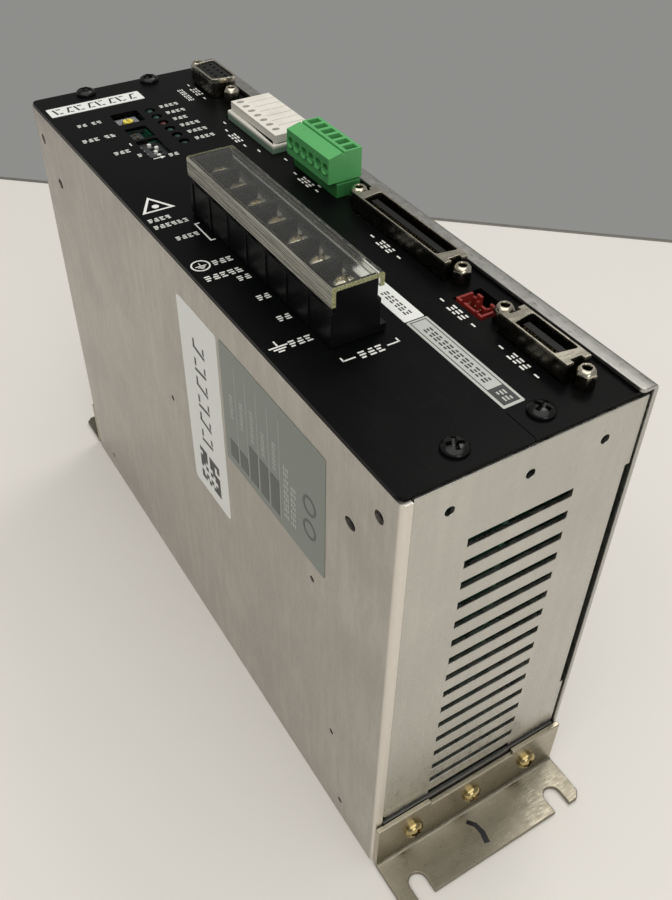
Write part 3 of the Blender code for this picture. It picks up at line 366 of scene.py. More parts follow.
def sheet_metal(name, colour, roughness, grain, stain=0.12, mottle=1.6, painted_light_step=None):
    """Bare rolled sheet: fine grain along the rolling direction, a mottled surface and soft stains.

    The optional step (axis, from, to, share) gives the colour times share beyond the level "to" on that axis:
    painted light, a highlight or a shade laid on by level."""
    nodes = Nodes(name)
    stains = nodes.spread(nodes.noise(26.0, detail=4), 0.35, 0.7)
    spots = nodes.spread(nodes.noise(mottle, detail=6, rough=0.7, shift=3.1), 0.3, 0.72)
    lines = nodes.noise(0.35, grain, detail=4, rough=0.6, shift=1.3)
    bands = nodes.spread(nodes.noise(3.2, grain, detail=3, shift=6.4), 0.35, 0.68)
    base = nodes.mix(spots, darker(colour, 1 - stain), colour)
    base = nodes.mix(nodes.maths("MULTIPLY", bands, 0.45), base, darker(colour, 1 + 0.8 * stain))
    base = nodes.mix(nodes.maths("MULTIPLY", stains, 0.5), base, darker(colour, 1 - 1.5 * stain))
    if painted_light_step:
        axis, start, end, share = painted_light_step
        # Painted light: the colour is scaled by level, a painted highlight or painted shade.
        painted_light_mask = nodes.spread(nodes.level(axis), start * MM, end * MM)
        base = nodes.mix(painted_light_mask, base, darker(colour, share))
    nodes.feed("Base Color", base)
    uneven = nodes.spread(spots, 0, 1, -0.05, 0.05)
    rough = nodes.maths("ADD", uneven, nodes.spread(lines, 0.3, 0.7, -0.06, 0.08))
    nodes.feed("Roughness", nodes.maths("ADD", rough, roughness))
    nodes.fix("Metallic", 1.0)
    nodes.height(nodes.maths("ADD", lines, nodes.maths("MULTIPLY", spots, 0.5)), 0.012)
    return nodes.material


def moulded(name, colour, roughness, texture=0.4, depth=0.01, shade=0.18, specular=0.5):
    """Moulded plastic: a fine spark-eroded texture and a little soiling."""
    nodes = Nodes(name)
    grain = nodes.noise(texture, detail=3, rough=0.6)
    soil = nodes.spread(nodes.noise(7.0, detail=5, rough=0.65, shift=2.2), 0.42, 0.75)
    nodes.feed("Base Color", nodes.mix(soil, colour, darker(colour, 1 - shade)))
    nodes.feed("Roughness", nodes.spread(grain, 0.25, 0.75, roughness - 0.06, roughness + 0.08))
    nodes.fix("Specular IOR Level", specular)
    nodes.height(grain, depth)
    return nodes.material


def plated(name, colour, roughness, tarnish=(0.35, 0.28, 0.15), amount=0.35, painted_dark_below=None):
    """Plated metal with patches of tarnish. Below an optional level its colour is darkened to 0.22 of itself,
    a painted reflection of the black panel.
    """
    nodes = Nodes(name)
    patches = nodes.spread(nodes.noise(3.5, detail=3, rough=0.5), 0.42, 0.75, 0.0, amount)
    wipe = nodes.noise(1.6, (4, 1, 1), detail=1, shift=4.0)
    base = nodes.mix(patches, colour, tarnish)
    if painted_dark_below:
        # Painted reflection: below the level the colour falls to 0.22 of itself.
        above_painted_dark = nodes.spread(nodes.level("Z"), (painted_dark_below - 0.5) * MM, painted_dark_below * MM)
        base = nodes.mix(above_painted_dark, darker(colour, 0.22), base)
    nodes.feed("Base Color", base)
    nodes.feed("Roughness", nodes.spread(wipe, 0.3, 0.7, roughness - 0.04, roughness + 0.06))
    nodes.fix("Metallic", 1.0)
    nodes.height(wipe, 0.0012)
    return nodes.material


def painted_panel():
    """Black baked paint: a very fine orange peel, dust specks and rubbed places."""
    nodes = Nodes("black_panel_paint")
    peel = nodes.noise(0.7, detail=2)
    specks = nodes.spread(nodes.noise(0.28, detail=1, shift=5.5), 0.74, 0.8)
    rubbed = nodes.spread(nodes.noise(14.0, (1, 1.8, 1), detail=5, rough=0.6, shift=1.9), 0.4, 0.75)
    dusty = nodes.mix(rubbed, (0.002, 0.0023, 0.0024), (0.0034, 0.0037, 0.0037))
    nodes.feed("Base Color", nodes.mix(specks, dusty, (0.045, 0.046, 0.043)))
    nodes.feed("Roughness", nodes.spread(rubbed, 0, 1, 0.34, 0.39))
    nodes.fix("Specular IOR Level", 0.07)
    nodes.height(peel, 0.006)
    return nodes.material


def clear_acrylic():
    """The clear cover: slightly hazed plastic with drawing lines along Y."""
    nodes = Nodes("clear_acrylic")
    streaks = nodes.noise(0.3, (1, 40, 1), detail=3)
    haze = nodes.spread(nodes.noise(5.0, (1, 2, 1), detail=5, rough=0.65), 0.4, 0.8)
    nodes.feed("Base Color", nodes.mix(haze, (0.93, 0.93, 0.88), (0.8, 0.8, 0.74)))
    nodes.feed("Roughness", nodes.spread(streaks, 0.3, 0.7, 0.03, 0.14))
    nodes.fix("Transmission Weight", 1.0)
    nodes.fix("IOR", 1.49)
    nodes.height(streaks, 0.004)
    return nodes.material


def frosted(name, dark, light, clearness):
    """Ribbed or sawn clear plastic, which scatters the light."""
    nodes = Nodes(name)
    streaks = nodes.noise(0.35, (1, 60, 1), detail=4)
    nodes.feed("Base Color", nodes.mix(nodes.spread(streaks, 0.35, 0.65), dark, light))
    nodes.feed("Roughness", nodes.spread(streaks, 0.3, 0.7, 0.2, 0.36))
    nodes.fix("Transmission Weight", clearness)
    nodes.fix("IOR", 1.49)
    nodes.height(streaks, 0.02)
    return nodes.material


def ink(name, colour, wear=0.25, roughness=0.5):
    """Screen-printing ink, thinner in places."""
    nodes = Nodes(name)
    thin = nodes.spread(nodes.noise(0.6, detail=4, rough=0.7), 0.5, 0.85, 0.0, wear)
    nodes.feed("Base Color", nodes.mix(thin, colour, darker(colour, 0.55)))
    nodes.feed("Roughness", nodes.spread(thin, 0, 1, roughness, roughness + 0.2))
    nodes.height(thin, 0.01)
    return nodes.material


def circuit_board():
    """Solder resist over tracks that run along both axes."""
    nodes = Nodes("circuit_board")
    along = nodes.spread(nodes.noise(0.9, (1, 14, 14), detail=1), 0.5, 0.56)
    across = nodes.spread(nodes.noise(0.9, (14, 1, 1), detail=1, shift=7.0), 0.54, 0.6)
    tracks = nodes.maths("MAXIMUM", along, across)
    nodes.feed("Base Color", nodes.mix(tracks, (0.012, 0.1, 0.055), (0.03, 0.22, 0.13)))
    nodes.feed("Roughness", nodes.spread(tracks, 0, 1, 0.42, 0.3))
    nodes.height(tracks, 0.03)
    return nodes.material


def lamp_lens(name, colour):
    """An unlit lamp: dark, slightly cloudy plastic."""
    nodes = Nodes(name)
    cloud = nodes.noise(0.8, detail=3)
    nodes.feed("Base Color", nodes.mix(nodes.spread(cloud, 0.3, 0.7), darker(colour, 0.6), colour))
    nodes.feed("Roughness", nodes.spread(cloud, 0.2, 0.8, 0.12, 0.25))
    nodes.fix("Specular IOR Level", 0.3)
    return nodes.material


def header_plastic(top, ivory, below):
    """Ivory plastic that turns grey-green towards its foot: a painted reflection of the green board and
    painted shade.
    """
    nodes = Nodes("header_ivory")
    painted_shade_fade = nodes.spread(nodes.level("Z"), (top - 1.3) * MM, (top - 0.5) * MM)
    grain = nodes.noise(0.4, detail=3)
    nodes.feed("Base Color", nodes.mix(painted_shade_fade, below, ivory))
    nodes.feed("Roughness", nodes.spread(grain, 0.25, 0.75, 0.35, 0.48))
    nodes.height(grain, 0.01)
    return nodes.material


ALUMINIUM = (0.60, 0.585, 0.55)
IVORY = (0.80, 0.77, 0.69)
GREEN = (0.105, 0.42, 0.135)

NEAR_BEND = box_mm("left_cover")[0].y
# Painted highlight: the colour is 1.5 times lighter within 0.6 mm of the near bend, standing in for the
# bend's bright reflection.
cover_metal = sheet_metal(
    "left_cover_metal", (0.50, 0.472, 0.43), 0.42, (1, 1, 7), stain=0.17, mottle=2.0,
    painted_light_step=("Y", NEAR_BEND + 1.5, NEAR_BEND + 0.6, 1.5),
)
end_metal = sheet_metal("end_plate_metal", (0.56, 0.55, 0.50), 0.33, (1, 1, 16), stain=0.1, mottle=2.4)
right_metal = sheet_metal("right_cover_metal", (0.50, 0.49, 0.46), 0.36, (1, 10, 1), stain=0.08)
tray_metal = sheet_metal("tray_metal", darker(ALUMINIUM, 0.4), 0.45, (1, 12, 1))
sink_metal = sheet_metal("heat_sink_metal", (0.5, 0.5, 0.5), 0.45, (1, 20, 1))
# Painted light: the upright above z = 2.6 mm is 1.65 times lighter than the foot, so foot and upright are lit
# and shaded copies of one metal.
bracket_metal = sheet_metal(
    "bracket_plate", (0.27, 0.245, 0.19), 0.33, (7, 1, 1), stain=0.14, mottle=4.0,
    painted_light_step=("Z", 1.7, 2.6, 1.65),
)
panel_paint = painted_panel()
brass = plated("yellow_plated_screw", (0.5, 0.4, 0.19), 0.16)
nickel = plated("nickel_plate", (0.66, 0.62, 0.54), 0.22, amount=0.25)
# Painted reflection: the shells' sides are darkened below 4.9 mm over the panel, where they mirror the black
# panel.
shell_metal = plated(
    "connector_shell_metal", (0.56, 0.52, 0.43), 0.27, tarnish=(0.36, 0.32, 0.24), amount=0.3,
    painted_dark_below=PANEL_TOP + 4.9,
)
jack_metal = plated("jackscrew_nickel", (0.66, 0.61, 0.5), 0.2, amount=0.25)
# A dark copy of the jackscrew nickel: painted reflection of the black panel on the jackscrews' lower sides.
jackscrew_painted_dark = plated("jackscrew_side_painted_dark", (0.13, 0.12, 0.1), 0.2, amount=0.2)
gold = plated("contact_gold", (0.6, 0.42, 0.16), 0.25, amount=0.2)
screw_black = moulded("black_oxide", (0.004, 0.004, 0.004), 0.24, texture=0.3, depth=0.003, specular=0.35)
block_black = moulded("terminal_black", (0.004, 0.0042, 0.005), 0.36, texture=0.5, specular=0.25)
insert_black = moulded("insert_black", (0.007, 0.007, 0.007), 0.4, specular=0.25)
ivory = moulded("ivory_plastic", IVORY, 0.42, shade=0.12)
green = moulded("green_plastic", GREEN, 0.38, shade=0.12, specular=0.45)
green_dark = moulded("green_header_plastic", (0.04, 0.2, 0.055), 0.4)
red = moulded("red_plastic", (0.24, 0.02, 0.016), 0.33)
switch_grey = moulded("switch_grey", (0.21, 0.21, 0.235), 0.42)
switch_dark = moulded("switch_dark", (0.045, 0.05, 0.05), 0.42)
switch_yellow = moulded("rotor_yellow", (0.85, 0.72, 0.12), 0.4)
lever_white = moulded("lever_white", (0.86, 0.86, 0.82), 0.38)
acrylic = clear_acrylic()
frosted_skirt = frosted("frosted_skirt", (0.3, 0.29, 0.24), (0.62, 0.6, 0.52), 0.5)
sawn_edge = frosted("sawn_edge", (0.34, 0.34, 0.16), (0.58, 0.58, 0.33), 0.15)
board_green = circuit_board()
sleeve = moulded("capacitor_sleeve", (0.02, 0.025, 0.06), 0.3)
module_black = moulded("module_black", (0.015, 0.015, 0.016), 0.5)
white_ink = ink("white_ink", (0.84, 0.84, 0.8))
dark_ink = ink("dark_ink", (0.035, 0.035, 0.035), roughness=0.45)
marker_ink = ink("marker_ink", (0.008, 0.008, 0.012), wear=0.5, roughness=0.25)
label_white = ink("label_white", (0.82, 0.83, 0.8), wear=0.08, roughness=0.55)
label_grey = ink("label_grey", (0.5, 0.52, 0.48), wear=0.12, roughness=0.35)
plate_green = ink("rating_plate", (0.2, 0.225, 0.2), wear=0.2, roughness=0.4)
plate_dark = ink("rating_plate_dark", (0.075, 0.085, 0.078), wear=0.2, roughness=0.4)
lens_green = lamp_lens("lens_green", (0.012, 0.055, 0.036))
lens_red = lamp_lens("lens_red", (0.085, 0.016, 0.014))


# Camera, table and light


def make_stage():
    scene = bpy.context.scene
    camera = bpy.data.objects.new("camera", bpy.data.cameras.new("camera"))
    scene.collection.objects.link(camera)
    camera.location = Vector(CAMERA_PLACE) * MM
    camera.rotation_euler = Euler([math.radians(angle) for angle in CAMERA_TURN])
    camera.data.lens = CAMERA_LENS
    camera.data.clip_start = 0.01
    scene.camera = camera
    scene.view_settings.view_transform = "Standard"

    mesh = bmesh.new()
    add_prism(mesh, "Z", rectangle(-TABLE_SIZE, TABLE_SIZE, -TABLE_SIZE, 0.0), -TABLE_DEPTH, -TABLE_GAP)
    nodes = Nodes("table")
    cloud = nodes.noise(160.0, detail=2)
    nodes.feed("Base Color", nodes.mix(cloud, (0.80, 0.765, 0.715), (0.84, 0.81, 0.77)))
    nodes.feed("Roughness", nodes.noise(1.2, detail=3))
    nodes.fix("Specular IOR Level", 0.25)
    add_prism(mesh, "Z", rectangle(-TABLE_SIZE, TABLE_SIZE, 0.4, 5.0), -TABLE_DEPTH, -1.0, 1)
    table = mesh_object("table", mesh, [nodes.material, moulded("table_trim", (0.16, 0.15, 0.13), 0.5)])
    table.location = Vector((*TABLE_EDGE_POINT, 0.0)) * MM
    table.rotation_euler = (0.0, 0.0, math.radians(TABLE_EDGE_TURN))
    bevel(table, 2.0)

    world = bpy.data.worlds.new("grey_room")
    world.use_nodes = True
    background = world.node_tree.nodes["Background"]
    background.inputs["Color"].default_value = (0.272, 0.272, 0.262, 1.0)
    background.inputs["Strength"].default_value = 1.0
    scene.world = world

    lights = [
        ("ceiling", (-250, -300, 1500), 2400, 20.5, (1.0, 0.985, 0.96)),
        ("key", (520, 260, 1000), 420, 2.0, (1.0, 0.98, 0.95)),
        ("front", (-150, -1150, 420), 600, 1.8, (1.0, 0.98, 0.94)),
    ]
    for name, place_mm, size, power, colour in lights:
        data = bpy.data.lights.new(name, "AREA")
        data.shape = "DISK"
        data.size = size * MM
        data.energy = power
        data.color = colour
        light = bpy.data.objects.new(name, data)
        scene.collection.objects.link(light)
        light.location = Vector(place_mm) * MM
        aim = Vector((0.0, 0.0, 70.0)) * MM - light.location
        light.rotation_euler = aim.to_track_quat("-Z", "Y").to_euler()


# Case


def dress_case():
    dress("rear_plate", tray_metal, 0.3)
    dress("bottom_end_plate", end_metal, 0.18)
    dress("top_end_plate", end_metal, 0.18)
    dress("left_cover", cover_metal, 0.3)
    dress("right_cover", right_metal, 0.3)
    dress("front_panel", panel_paint, 0.22)
    dress("bottom_bracket", bracket_metal, 0.3)
    dress("top_bracket", bracket_metal, 0.3)
    dress("heat_sink", sink_metal, 0.3)
    dress("power_module", module_black, 0.6)
    for board in ("display_board", "control_board", "power_board"):
        dress(board, board_green, 0.1, 1)
    for number in (1, 2):
        dress(f"bus_capacitor_{number}", sleeve, 0.4)


# Screws

SCREW_SIDES = 28
WASHER_SHEET = 0.8
BRACKET_HEAD = 2.7
POLE_HEAD = 3.4
HEX_FLATS = 2.2
HEX_HEIGHT = 4.9
HEX_POINTS = 24


def screw_data(name, radius, height, material, plate=0.0):
    """A pan-head screw with a cross recess, standing on z = 0 or on a square washer of width plate."""
    mesh = bmesh.new()
    base = WASHER_SHEET if plate else 0.0
    if plate:
        add_prism(mesh, "Z", rounded(box_about(0, 0, plate, plate), 0.8, 3), 0.0, base)
    dome = [(radius * 0.98, base), (radius, base + 0.25 * height)]
    for angle in (math.radians(15 * step) for step in range(1, 6)):
        rise = 0.25 + 0.75 * math.sin(angle) ** 1.1
        dome.append((radius * math.cos(angle) ** 0.75, base + height * rise))
    add_turned(mesh, (0, 0, 0), dome, SCREW_SIDES)
    obj = mesh_object(name, mesh, [material])
    half, slim, deep = radius * 0.62, radius * 0.17, height * 0.8
    top = base + height + 0.1
    for long_x in (True, False):
        wide = (half, slim) if long_x else (slim, half)
        narrow = (half * 0.35, slim * 0.6) if long_x else (slim * 0.6, half * 0.35)
        sections = [
            (box_about(0, 0, 2 * narrow[0], 2 * narrow[1]), top - deep),
            (box_about(0, 0, 2 * wide[0], 2 * wide[1]), top - 0.45 * height),
            (box_about(0, 0, 2 * wide[0], 2 * wide[1]), top),
        ]
        tool = bmesh.new()
        add_loft(tool, "Z", sections)
        cut(obj, tool)
    return released(obj)


def released(obj):
    """Smooths a mesh that several pieces will share, and drops the object that it was made in."""
    smooth(obj, 30)
    data = obj.data
    bpy.data.objects.remove(obj)
    return data


def place_copy(name, data, turn, node):
    """One more piece with the shared mesh, in the place of a CAD node of the case."""
    obj = bpy.data.objects.new(name, data)
    bpy.context.scene.collection.objects.link(obj)
    obj.matrix_world = turn
    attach(obj, "case")
    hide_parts(node)


def make_screws():
    panel_data = screw_data("panel_screw_mesh", 3.2, 1.8, screw_black)
    for number in range(1, 5):
        node = f"panel_screw_{number}"
        spot = centre_mm(node)
        spot.z = PANEL_TOP + 0.02
        turn = Matrix.Translation(spot * MM) @ Matrix.Rotation(0.5 + 0.7 * number, 4, "Z")
        place_copy(node + "_head", panel_data, turn, node)
    brass_data = screw_data("bracket_screw_mesh", 3.1, 2.4, brass)
    for end, side in (("bottom", -1), ("top", 1)):
        for number in (1, 2, 3):
            node = f"{end}_bracket_screw_{number}"
            spot = centre_mm(node)
            screw_low, screw_high = box_mm(node)
            spot.y = screw_low.y + BRACKET_HEAD if side < 0 else screw_high.y - BRACKET_HEAD
            facing = Matrix.Rotation(math.radians(-90 * side), 4, "X")
            turn = Matrix.Translation(spot * MM) @ facing @ Matrix.Rotation(0.35 + 0.9 * number, 4, "Z")
            place_copy(node + "_head", brass_data, turn, node)
    pole_data = screw_data("terminal_screw_mesh", 3.0, 2.6, nickel, plate=7.3)
    for number in range(1, TB1_POLES + 1):
        node = f"tb1_screw_{number}"
        spot = centre_mm(node)
        spot.z = box_mm(node)[1].z - POLE_HEAD
        turn = Matrix.Translation(spot * MM) @ Matrix.Rotation(0.08 * number, 4, "Z")
        place_copy(node + "_head", pole_data, turn, node)


def hexagon(reach_to_flat):
    """A hexagon drawn with as many points as the rings that it meets."""
    points = []
    for step in range(HEX_POINTS):
        angle = 2 * math.pi * step / HEX_POINTS
        reach = reach_to_flat / math.cos((angle + math.pi / 6) % (math.pi / 3) - math.pi / 6)
        points.append((reach * math.cos(angle), reach * math.sin(angle)))
    return points


def make_jackscrews():
    """Hexagonal jackscrews: a shank, a hexagon with a turned end and a blind bore."""
    shank = [(1.3, -3.8), (1.3, 0.1)]
    turned_end = [(HEX_FLATS * 0.97, -0.7), (HEX_FLATS * 0.8, -0.15), (HEX_FLATS * 0.7, 0.0)]
    turned_end += [(1.2, 0.0), (1.05, -0.35)]
    sections = [(circle(0, 0, radius, HEX_POINTS, 0), z) for radius, z in shank]
    sections += [(hexagon(HEX_FLATS), z) for z in (0.1, HEX_HEIGHT - 1.3)]
    sections += [(circle(0, 0, radius, HEX_POINTS, 0), HEX_HEIGHT + z) for radius, z in turned_end]
    sections.append((circle(0, 0, 1.0, HEX_POINTS, 0), 1.0))
    mesh = bmesh.new()
    add_loft(mesh, "Z", sections)
    obj = mesh_object("jackscrew_mesh", mesh, [jack_metal, jackscrew_painted_dark])
    # Painted reflection: faces whose middle lies more than 1.5 mm under the top take the dark copy of the
    # nickel, standing in for the black panel mirrored in the sides.
    for face in obj.data.polygons:
        face.material_index = 1 if face.center.z / MM < HEX_HEIGHT - 1.5 else 0
    data = released(obj)
    for connector in ("cn1", "cn2", "cn4"):
        for number in (1, 2):
            node = f"{connector}_jackscrew_{number}"
            spot = centre_mm(node)
            spot.z = PANEL_TOP
            turn = Matrix.Translation(spot * MM) @ Matrix.Rotation(0.4 * number, 4, "Z")
            place_copy(node + "_hex", data, turn, node)


# Terminal block TB1


def pole_rows():
    """The Y of the terminal block's screws."""
    return [centre_mm(f"tb1_screw_{number}").y for number in range(1, TB1_POLES + 1)]


def make_tb1():
    dress("tb1_body", block_black, 0.25)
    low = box_mm("tb1_body")[0]
    poles = pole_rows()
    pitch = poles[1] - poles[0]
    ribs = bmesh.new()
    for index in range(len(poles) + 1):
        y = poles[0] + (index - 0.5) * pitch
        outline = rectangle(low.x - 0.35, low.x + 0.2, y - 0.75, y + 0.75)
        add_prism(ribs, "Z", outline, low.z + 0.1, low.z + 9.0)
    add_piece("tb1_side_ribs", ribs, block_black, 0.15)
    plates = bmesh.new()
    for y in poles:
        outline = rounded(box_about(centre_mm("tb1_screw_1").x + 0.1, y, 9.6, 7.9), 0.7, 3)
        add_prism(plates, "Z", outline, low.z + 9.25, low.z + 9.45)
    add_piece("tb1_clamp_plates", plates, nickel, 0.05)


def make_tb1_cover():
    """The clear cover. Its skirts carry fine ribs, and its sawn ends are frosted."""
    low, high = box_mm("tb1_cover")
    sheet, ribs, corner_radius = 1.2, 13, 0.75
    skirt_left, skirt_right = high.z - low.z, 3.6
    corner = []
    for angle in (math.pi / 12 * step for step in range(7)):
        inward, down = corner_radius * (1 - math.cos(angle)), corner_radius * (1 - math.sin(angle))
        corner.append((low.x + inward, high.z - down))
    profile = []
    for index in range(ribs):
        z = low.z + (skirt_left - 0.9) * index / ribs
        step = (skirt_left - 0.9) / ribs
        profile += [(low.x + 0.14, z), (low.x, z + 0.25 * step), (low.x, z + 0.7 * step)]
    profile += corner
    profile += [(low.x + high.x - x, z) for x, z in reversed(corner)]
    profile += [
        (high.x, high.z - skirt_right),
        (high.x - sheet, high.z - skirt_right),
        (high.x - sheet, high.z - sheet - 0.3),
        (high.x - sheet - 0.3, high.z - sheet),
        (low.x + sheet + 0.3, high.z - sheet),
        (low.x + sheet, high.z - sheet - 0.3),
        (low.x + sheet, low.z),
    ]
    mesh = bmesh.new()
    add_prism(mesh, "Y", profile, low.y, high.y)
    cover = mesh_object("tb1_clear_cover", mesh, [acrylic, frosted_skirt, sawn_edge])
    for face in cover.data.polygons:
        middle = face.center / MM
        sawn = abs(face.normal.y) > 0.9
        skirt = abs(face.normal.x) > 0.3 and middle.x < low.x + 0.3
        face.material_index = 2 if sawn else 1 if skirt else 0
    finish_piece(cover, "tb1_cover", ["tb1_cover"], edge=0.06, sharp=25)


# Pluggable terminals


def make_tb2():
    header_top = box_mm("tb2_header")[1].z
    # The header's lower sides are painted grey-green: a painted reflection of the board and painted shade.
    dress("tb2_header", header_plastic(header_top, darker(IVORY, 0.92), (0.17, 0.26, 0.19)), 0.45, 3)
    plug = rebuilt("tb2_plug", "tb2_plug_body", ivory)
    low, high = box_mm("tb2_plug")
    grooves = bmesh.new()
    for index in range(1, TB2_WAYS):
        y = high.y - index * WAY_PITCH
        groove = rectangle(low.x + 4.3, high.x + 1, y - 0.14, y + 0.14)
        add_prism(grooves, "Z", groove, high.z - 0.6, high.z + 1)
    cut(plug, grooves)
    finish_piece(plug, "tb2_plug", ["tb2_plug"], edge=0.16)
    # Partly real, partly painted shade: the clamps in the wire holes are coloured black so that the holes
    # read as shaded.
    clamps = bmesh.new()
    for index in range(TB2_WAYS):
        y = high.y - (index + 0.5) * WAY_PITCH
        add_prism(clamps, "Z", box_about(low.x + 2.35, y, 1.9, 1.2), high.z - 2.4, high.z - 1.3)
    add_piece("tb2_clamps_painted_shade", clamps, insert_black, 0.05, body="tb2_plug")


def make_cn5():
    dress("cn5_header", green_dark, 0.2)
    low, high = box_mm("cn5_plug")
    plug = rebuilt("cn5_plug", "cn5_plug_body", green)
    finish_piece(plug, "cn5_plug", ["cn5_plug"], edge=0.14)
    well_z = PANEL_TOP + 8.0
    ridges = bmesh.new()
    screws = bmesh.new()
    clamps = bmesh.new()
    for index in range(CN5_WAYS):
        y = high.y - (index + 0.5) * WAY_PITCH
        rib = rectangle(y + 1.6, y + 1.85, PANEL_TOP + 4.2, high.z - 2.2)
        add_prism(ridges, "X", arc_band(y, well_z, 1.5, 1.78, 170, 200), low.x - 0.3, low.x + 0.1)
        add_prism(ridges, "X", rib, low.x - 0.12, low.x + 0.1)
        add_prism(screws, "X", circle(y, well_z, 1.35, 20), low.x + 1.4, low.x + 2.6)
        add_prism(clamps, "Z", box_about(high.x - 2.85, y, 3.2, 2.3), high.z - 4.45, high.z - 3.4)
    add_piece("cn5_ridges", ridges, green, 0.05, body="cn5_plug")
    add_piece("cn5_screws", screws, nickel, 0.1, body="cn5_plug")
    add_piece("cn5_clamps", clamps, green_dark, 0.1, body="cn5_plug")


# Shielded connectors


def make_ribbon_connector(name, contacts):
    dress(f"{name}_shell", shell_metal, 0.28)
    dress(f"{name}_insert", insert_black, 0.12)
    low, high = box_mm(f"{name}_insert")
    x = (low.x + high.x) / 2
    y = (low.y + high.y) / 2
    count = contacts // 2
    leaves = bmesh.new()
    for index in range(count):
        leaf_y = y + (index - (count - 1) / 2) * CONTACT_PITCH * 0.93
        for side in (-1, 1):
            outline = box_about(x + side * 1.06, leaf_y, 0.22, 0.5)
            add_prism(leaves, "Z", outline, PANEL_TOP - 0.9, high.z - 0.35)
    add_piece(f"{name}_contacts", leaves, gold, 0.03, segments=1)


def make_cn1():
    dress("cn1_shell", shell_metal, 0.22)
    dress("cn1_insert", insert_black, 0.1)
    rim_z = box_mm("cn1_shell")[1].z
    low, high = box_mm("cn1_insert")
    x = (low.x + high.x) / 2
    y = (low.y + high.y) / 2
    rim = bmesh.new()
    outer = rounded(trapezoid(x, y, 8.75, 17.35, 1.3), 1.7, 5)
    add_prism(rim, "Z", outer, rim_z - 0.7, rim_z + 0.02)
    piece = mesh_object("cn1_rim", rim, [nickel])
    inner = rounded(trapezoid(x, y, 8.36, 16.96, 1.3), 1.55, 5)
    hole = bmesh.new()
    add_prism(hole, "Z", inner, rim_z - 2, rim_z + 2)
    cut(piece, hole)
    finish_piece(piece, edge=0.08)
    sockets = bmesh.new()
    for row, count in ((1, 5), (-1, 4)):
        for index in range(count):
            socket_y = y + (index - (count - 1) / 2) * D_CONTACT_PITCH
            add_turned(sockets, (x + row * 1.42, socket_y, high.z - 2.9), [(0.5, 0), (0.5, 1.4)], 12)
    add_piece("cn1_sockets", sockets, gold, 0.04, segments=1)


def make_cn3():
    low, high = box_mm("cn3_header")
    header = rebuilt("cn3_header", "cn3_castellated_header", red)
    x = (low.x + high.x) / 2
    y = (low.y + high.y) / 2
    notches = bmesh.new()
    for wall, start, end, depth in (
        (high.x, y - 1.6, y + 1.6, 2.4),
        (high.x, high.y - 1.5, high.y + 1, 1.4),
        (low.x, y - 3.2, y - 2.2, 1.6),
        (low.x, y + 2.0, y + 3.0, 1.6),
    ):
        add_prism(notches, "Z", rectangle(wall - 1, wall + 1, start, end), high.z - depth, high.z + 1)
    cut(header, notches)
    finish_piece(header, replaces=["cn3_header"], edge=0.12)
    walls = bmesh.new()
    for offset in (-1.9, 1.9):
        add_prism(walls, "Z", box_about(low.x + 1.2, y + offset, 1.0, 0.7), high.z - 5.6, high.z - 0.5)
        add_prism(walls, "Z", box_about(high.x - 1.2, y + offset, 1.0, 0.7), high.z - 5.6, high.z - 1.0)
    add_piece("cn3_keys", walls, red, 0.1)
    pins = bmesh.new()
    for index in range(4):
        pin_y = y + (index - 1.5) * 2.0
        shape = [(box_about(x, pin_y, 0.6, 0.6), high.z - 5.8), (box_about(x, pin_y, 0.6, 0.6), high.z - 1.6)]
        shape.append((box_about(x, pin_y, 0.25, 0.25), high.z - 1.2))
        add_loft(pins, "Z", shape)
    add_piece("cn3_pins", pins, gold, 0.03, segments=1)


# Switches and lamps


def lamp_rows():
    """The X of the lamps, the Y of the first one and their pitch."""
    low, high = box_mm("status_leds")
    radius = (high.x - low.x) / 2
    return (low.x + high.x) / 2, high.y - radius, (high.y - low.y - 2 * radius) / (LAMPS - 1)


def make_lamp_domes():
    x, first, pitch = lamp_rows()
    top = box_mm("status_leds")[1].z
    profile = [(1.15, -0.6), (1.15, -0.1), (1.05, 0.25), (0.8, 0.5), (0.4, 0.66), (0.1, 0.7)]
    for index in range(LAMPS):
        mesh = bmesh.new()
        add_turned(mesh, (x, first - index * pitch, top), profile, 20)
        add_piece(f"lamp_dome_{index + 1}", mesh, lens_red if index == RED_LAMP else lens_green)


def make_switches():
    dress("rotary_switch_body", switch_grey, 0.15)
    dress("rotary_switch_rotor", switch_yellow, 0.12)
    dress("monitor_header", switch_dark, 0.12)
    dress("dip_switch_body", switch_dark, 0.12)
    for number in range(1, 5):
        dress(f"dip_lever_{number}", lever_white, 0.12)
    dress("status_leds", lens_green, 0.1)
    make_lamp_domes()
    body_low, body_high = box_mm("dip_switch_body")
    marks = bmesh.new()
    for number in range(1, 5):
        y = centre_mm(f"dip_lever_{number}").y
        add_prism(marks, "Z", circle(body_low.x + 1.1, y, 0.4, 12), body_high.z + 0.01, body_high.z + RAISED)
    add_piece("dip_marks", marks, label_grey)
    rotor = centre_mm("rotary_switch_rotor")
    top = box_mm("rotary_switch_body")[1].z
    dots = bmesh.new()
    for a, b in circle(rotor.x, rotor.y, 3.25, 10, 0):
        add_prism(dots, "Z", circle(a, b, 0.16, 8), top + 0.01, top + RAISED)
    add_piece("rotary_scale", dots, white_ink)
    header = centre_mm("monitor_header")
    top = box_mm("monitor_header")[1].z
    pins = bmesh.new()
    for step in (-1, 0, 1):
        pin = box_about(header.x, header.y + step * HEADER_PIN_PITCH, 0.5, 0.5)
        add_prism(pins, "Z", pin, top - 1.4, top + 0.5)
    add_piece("monitor_pins", pins, gold, 0.04, segments=1)


# Printing


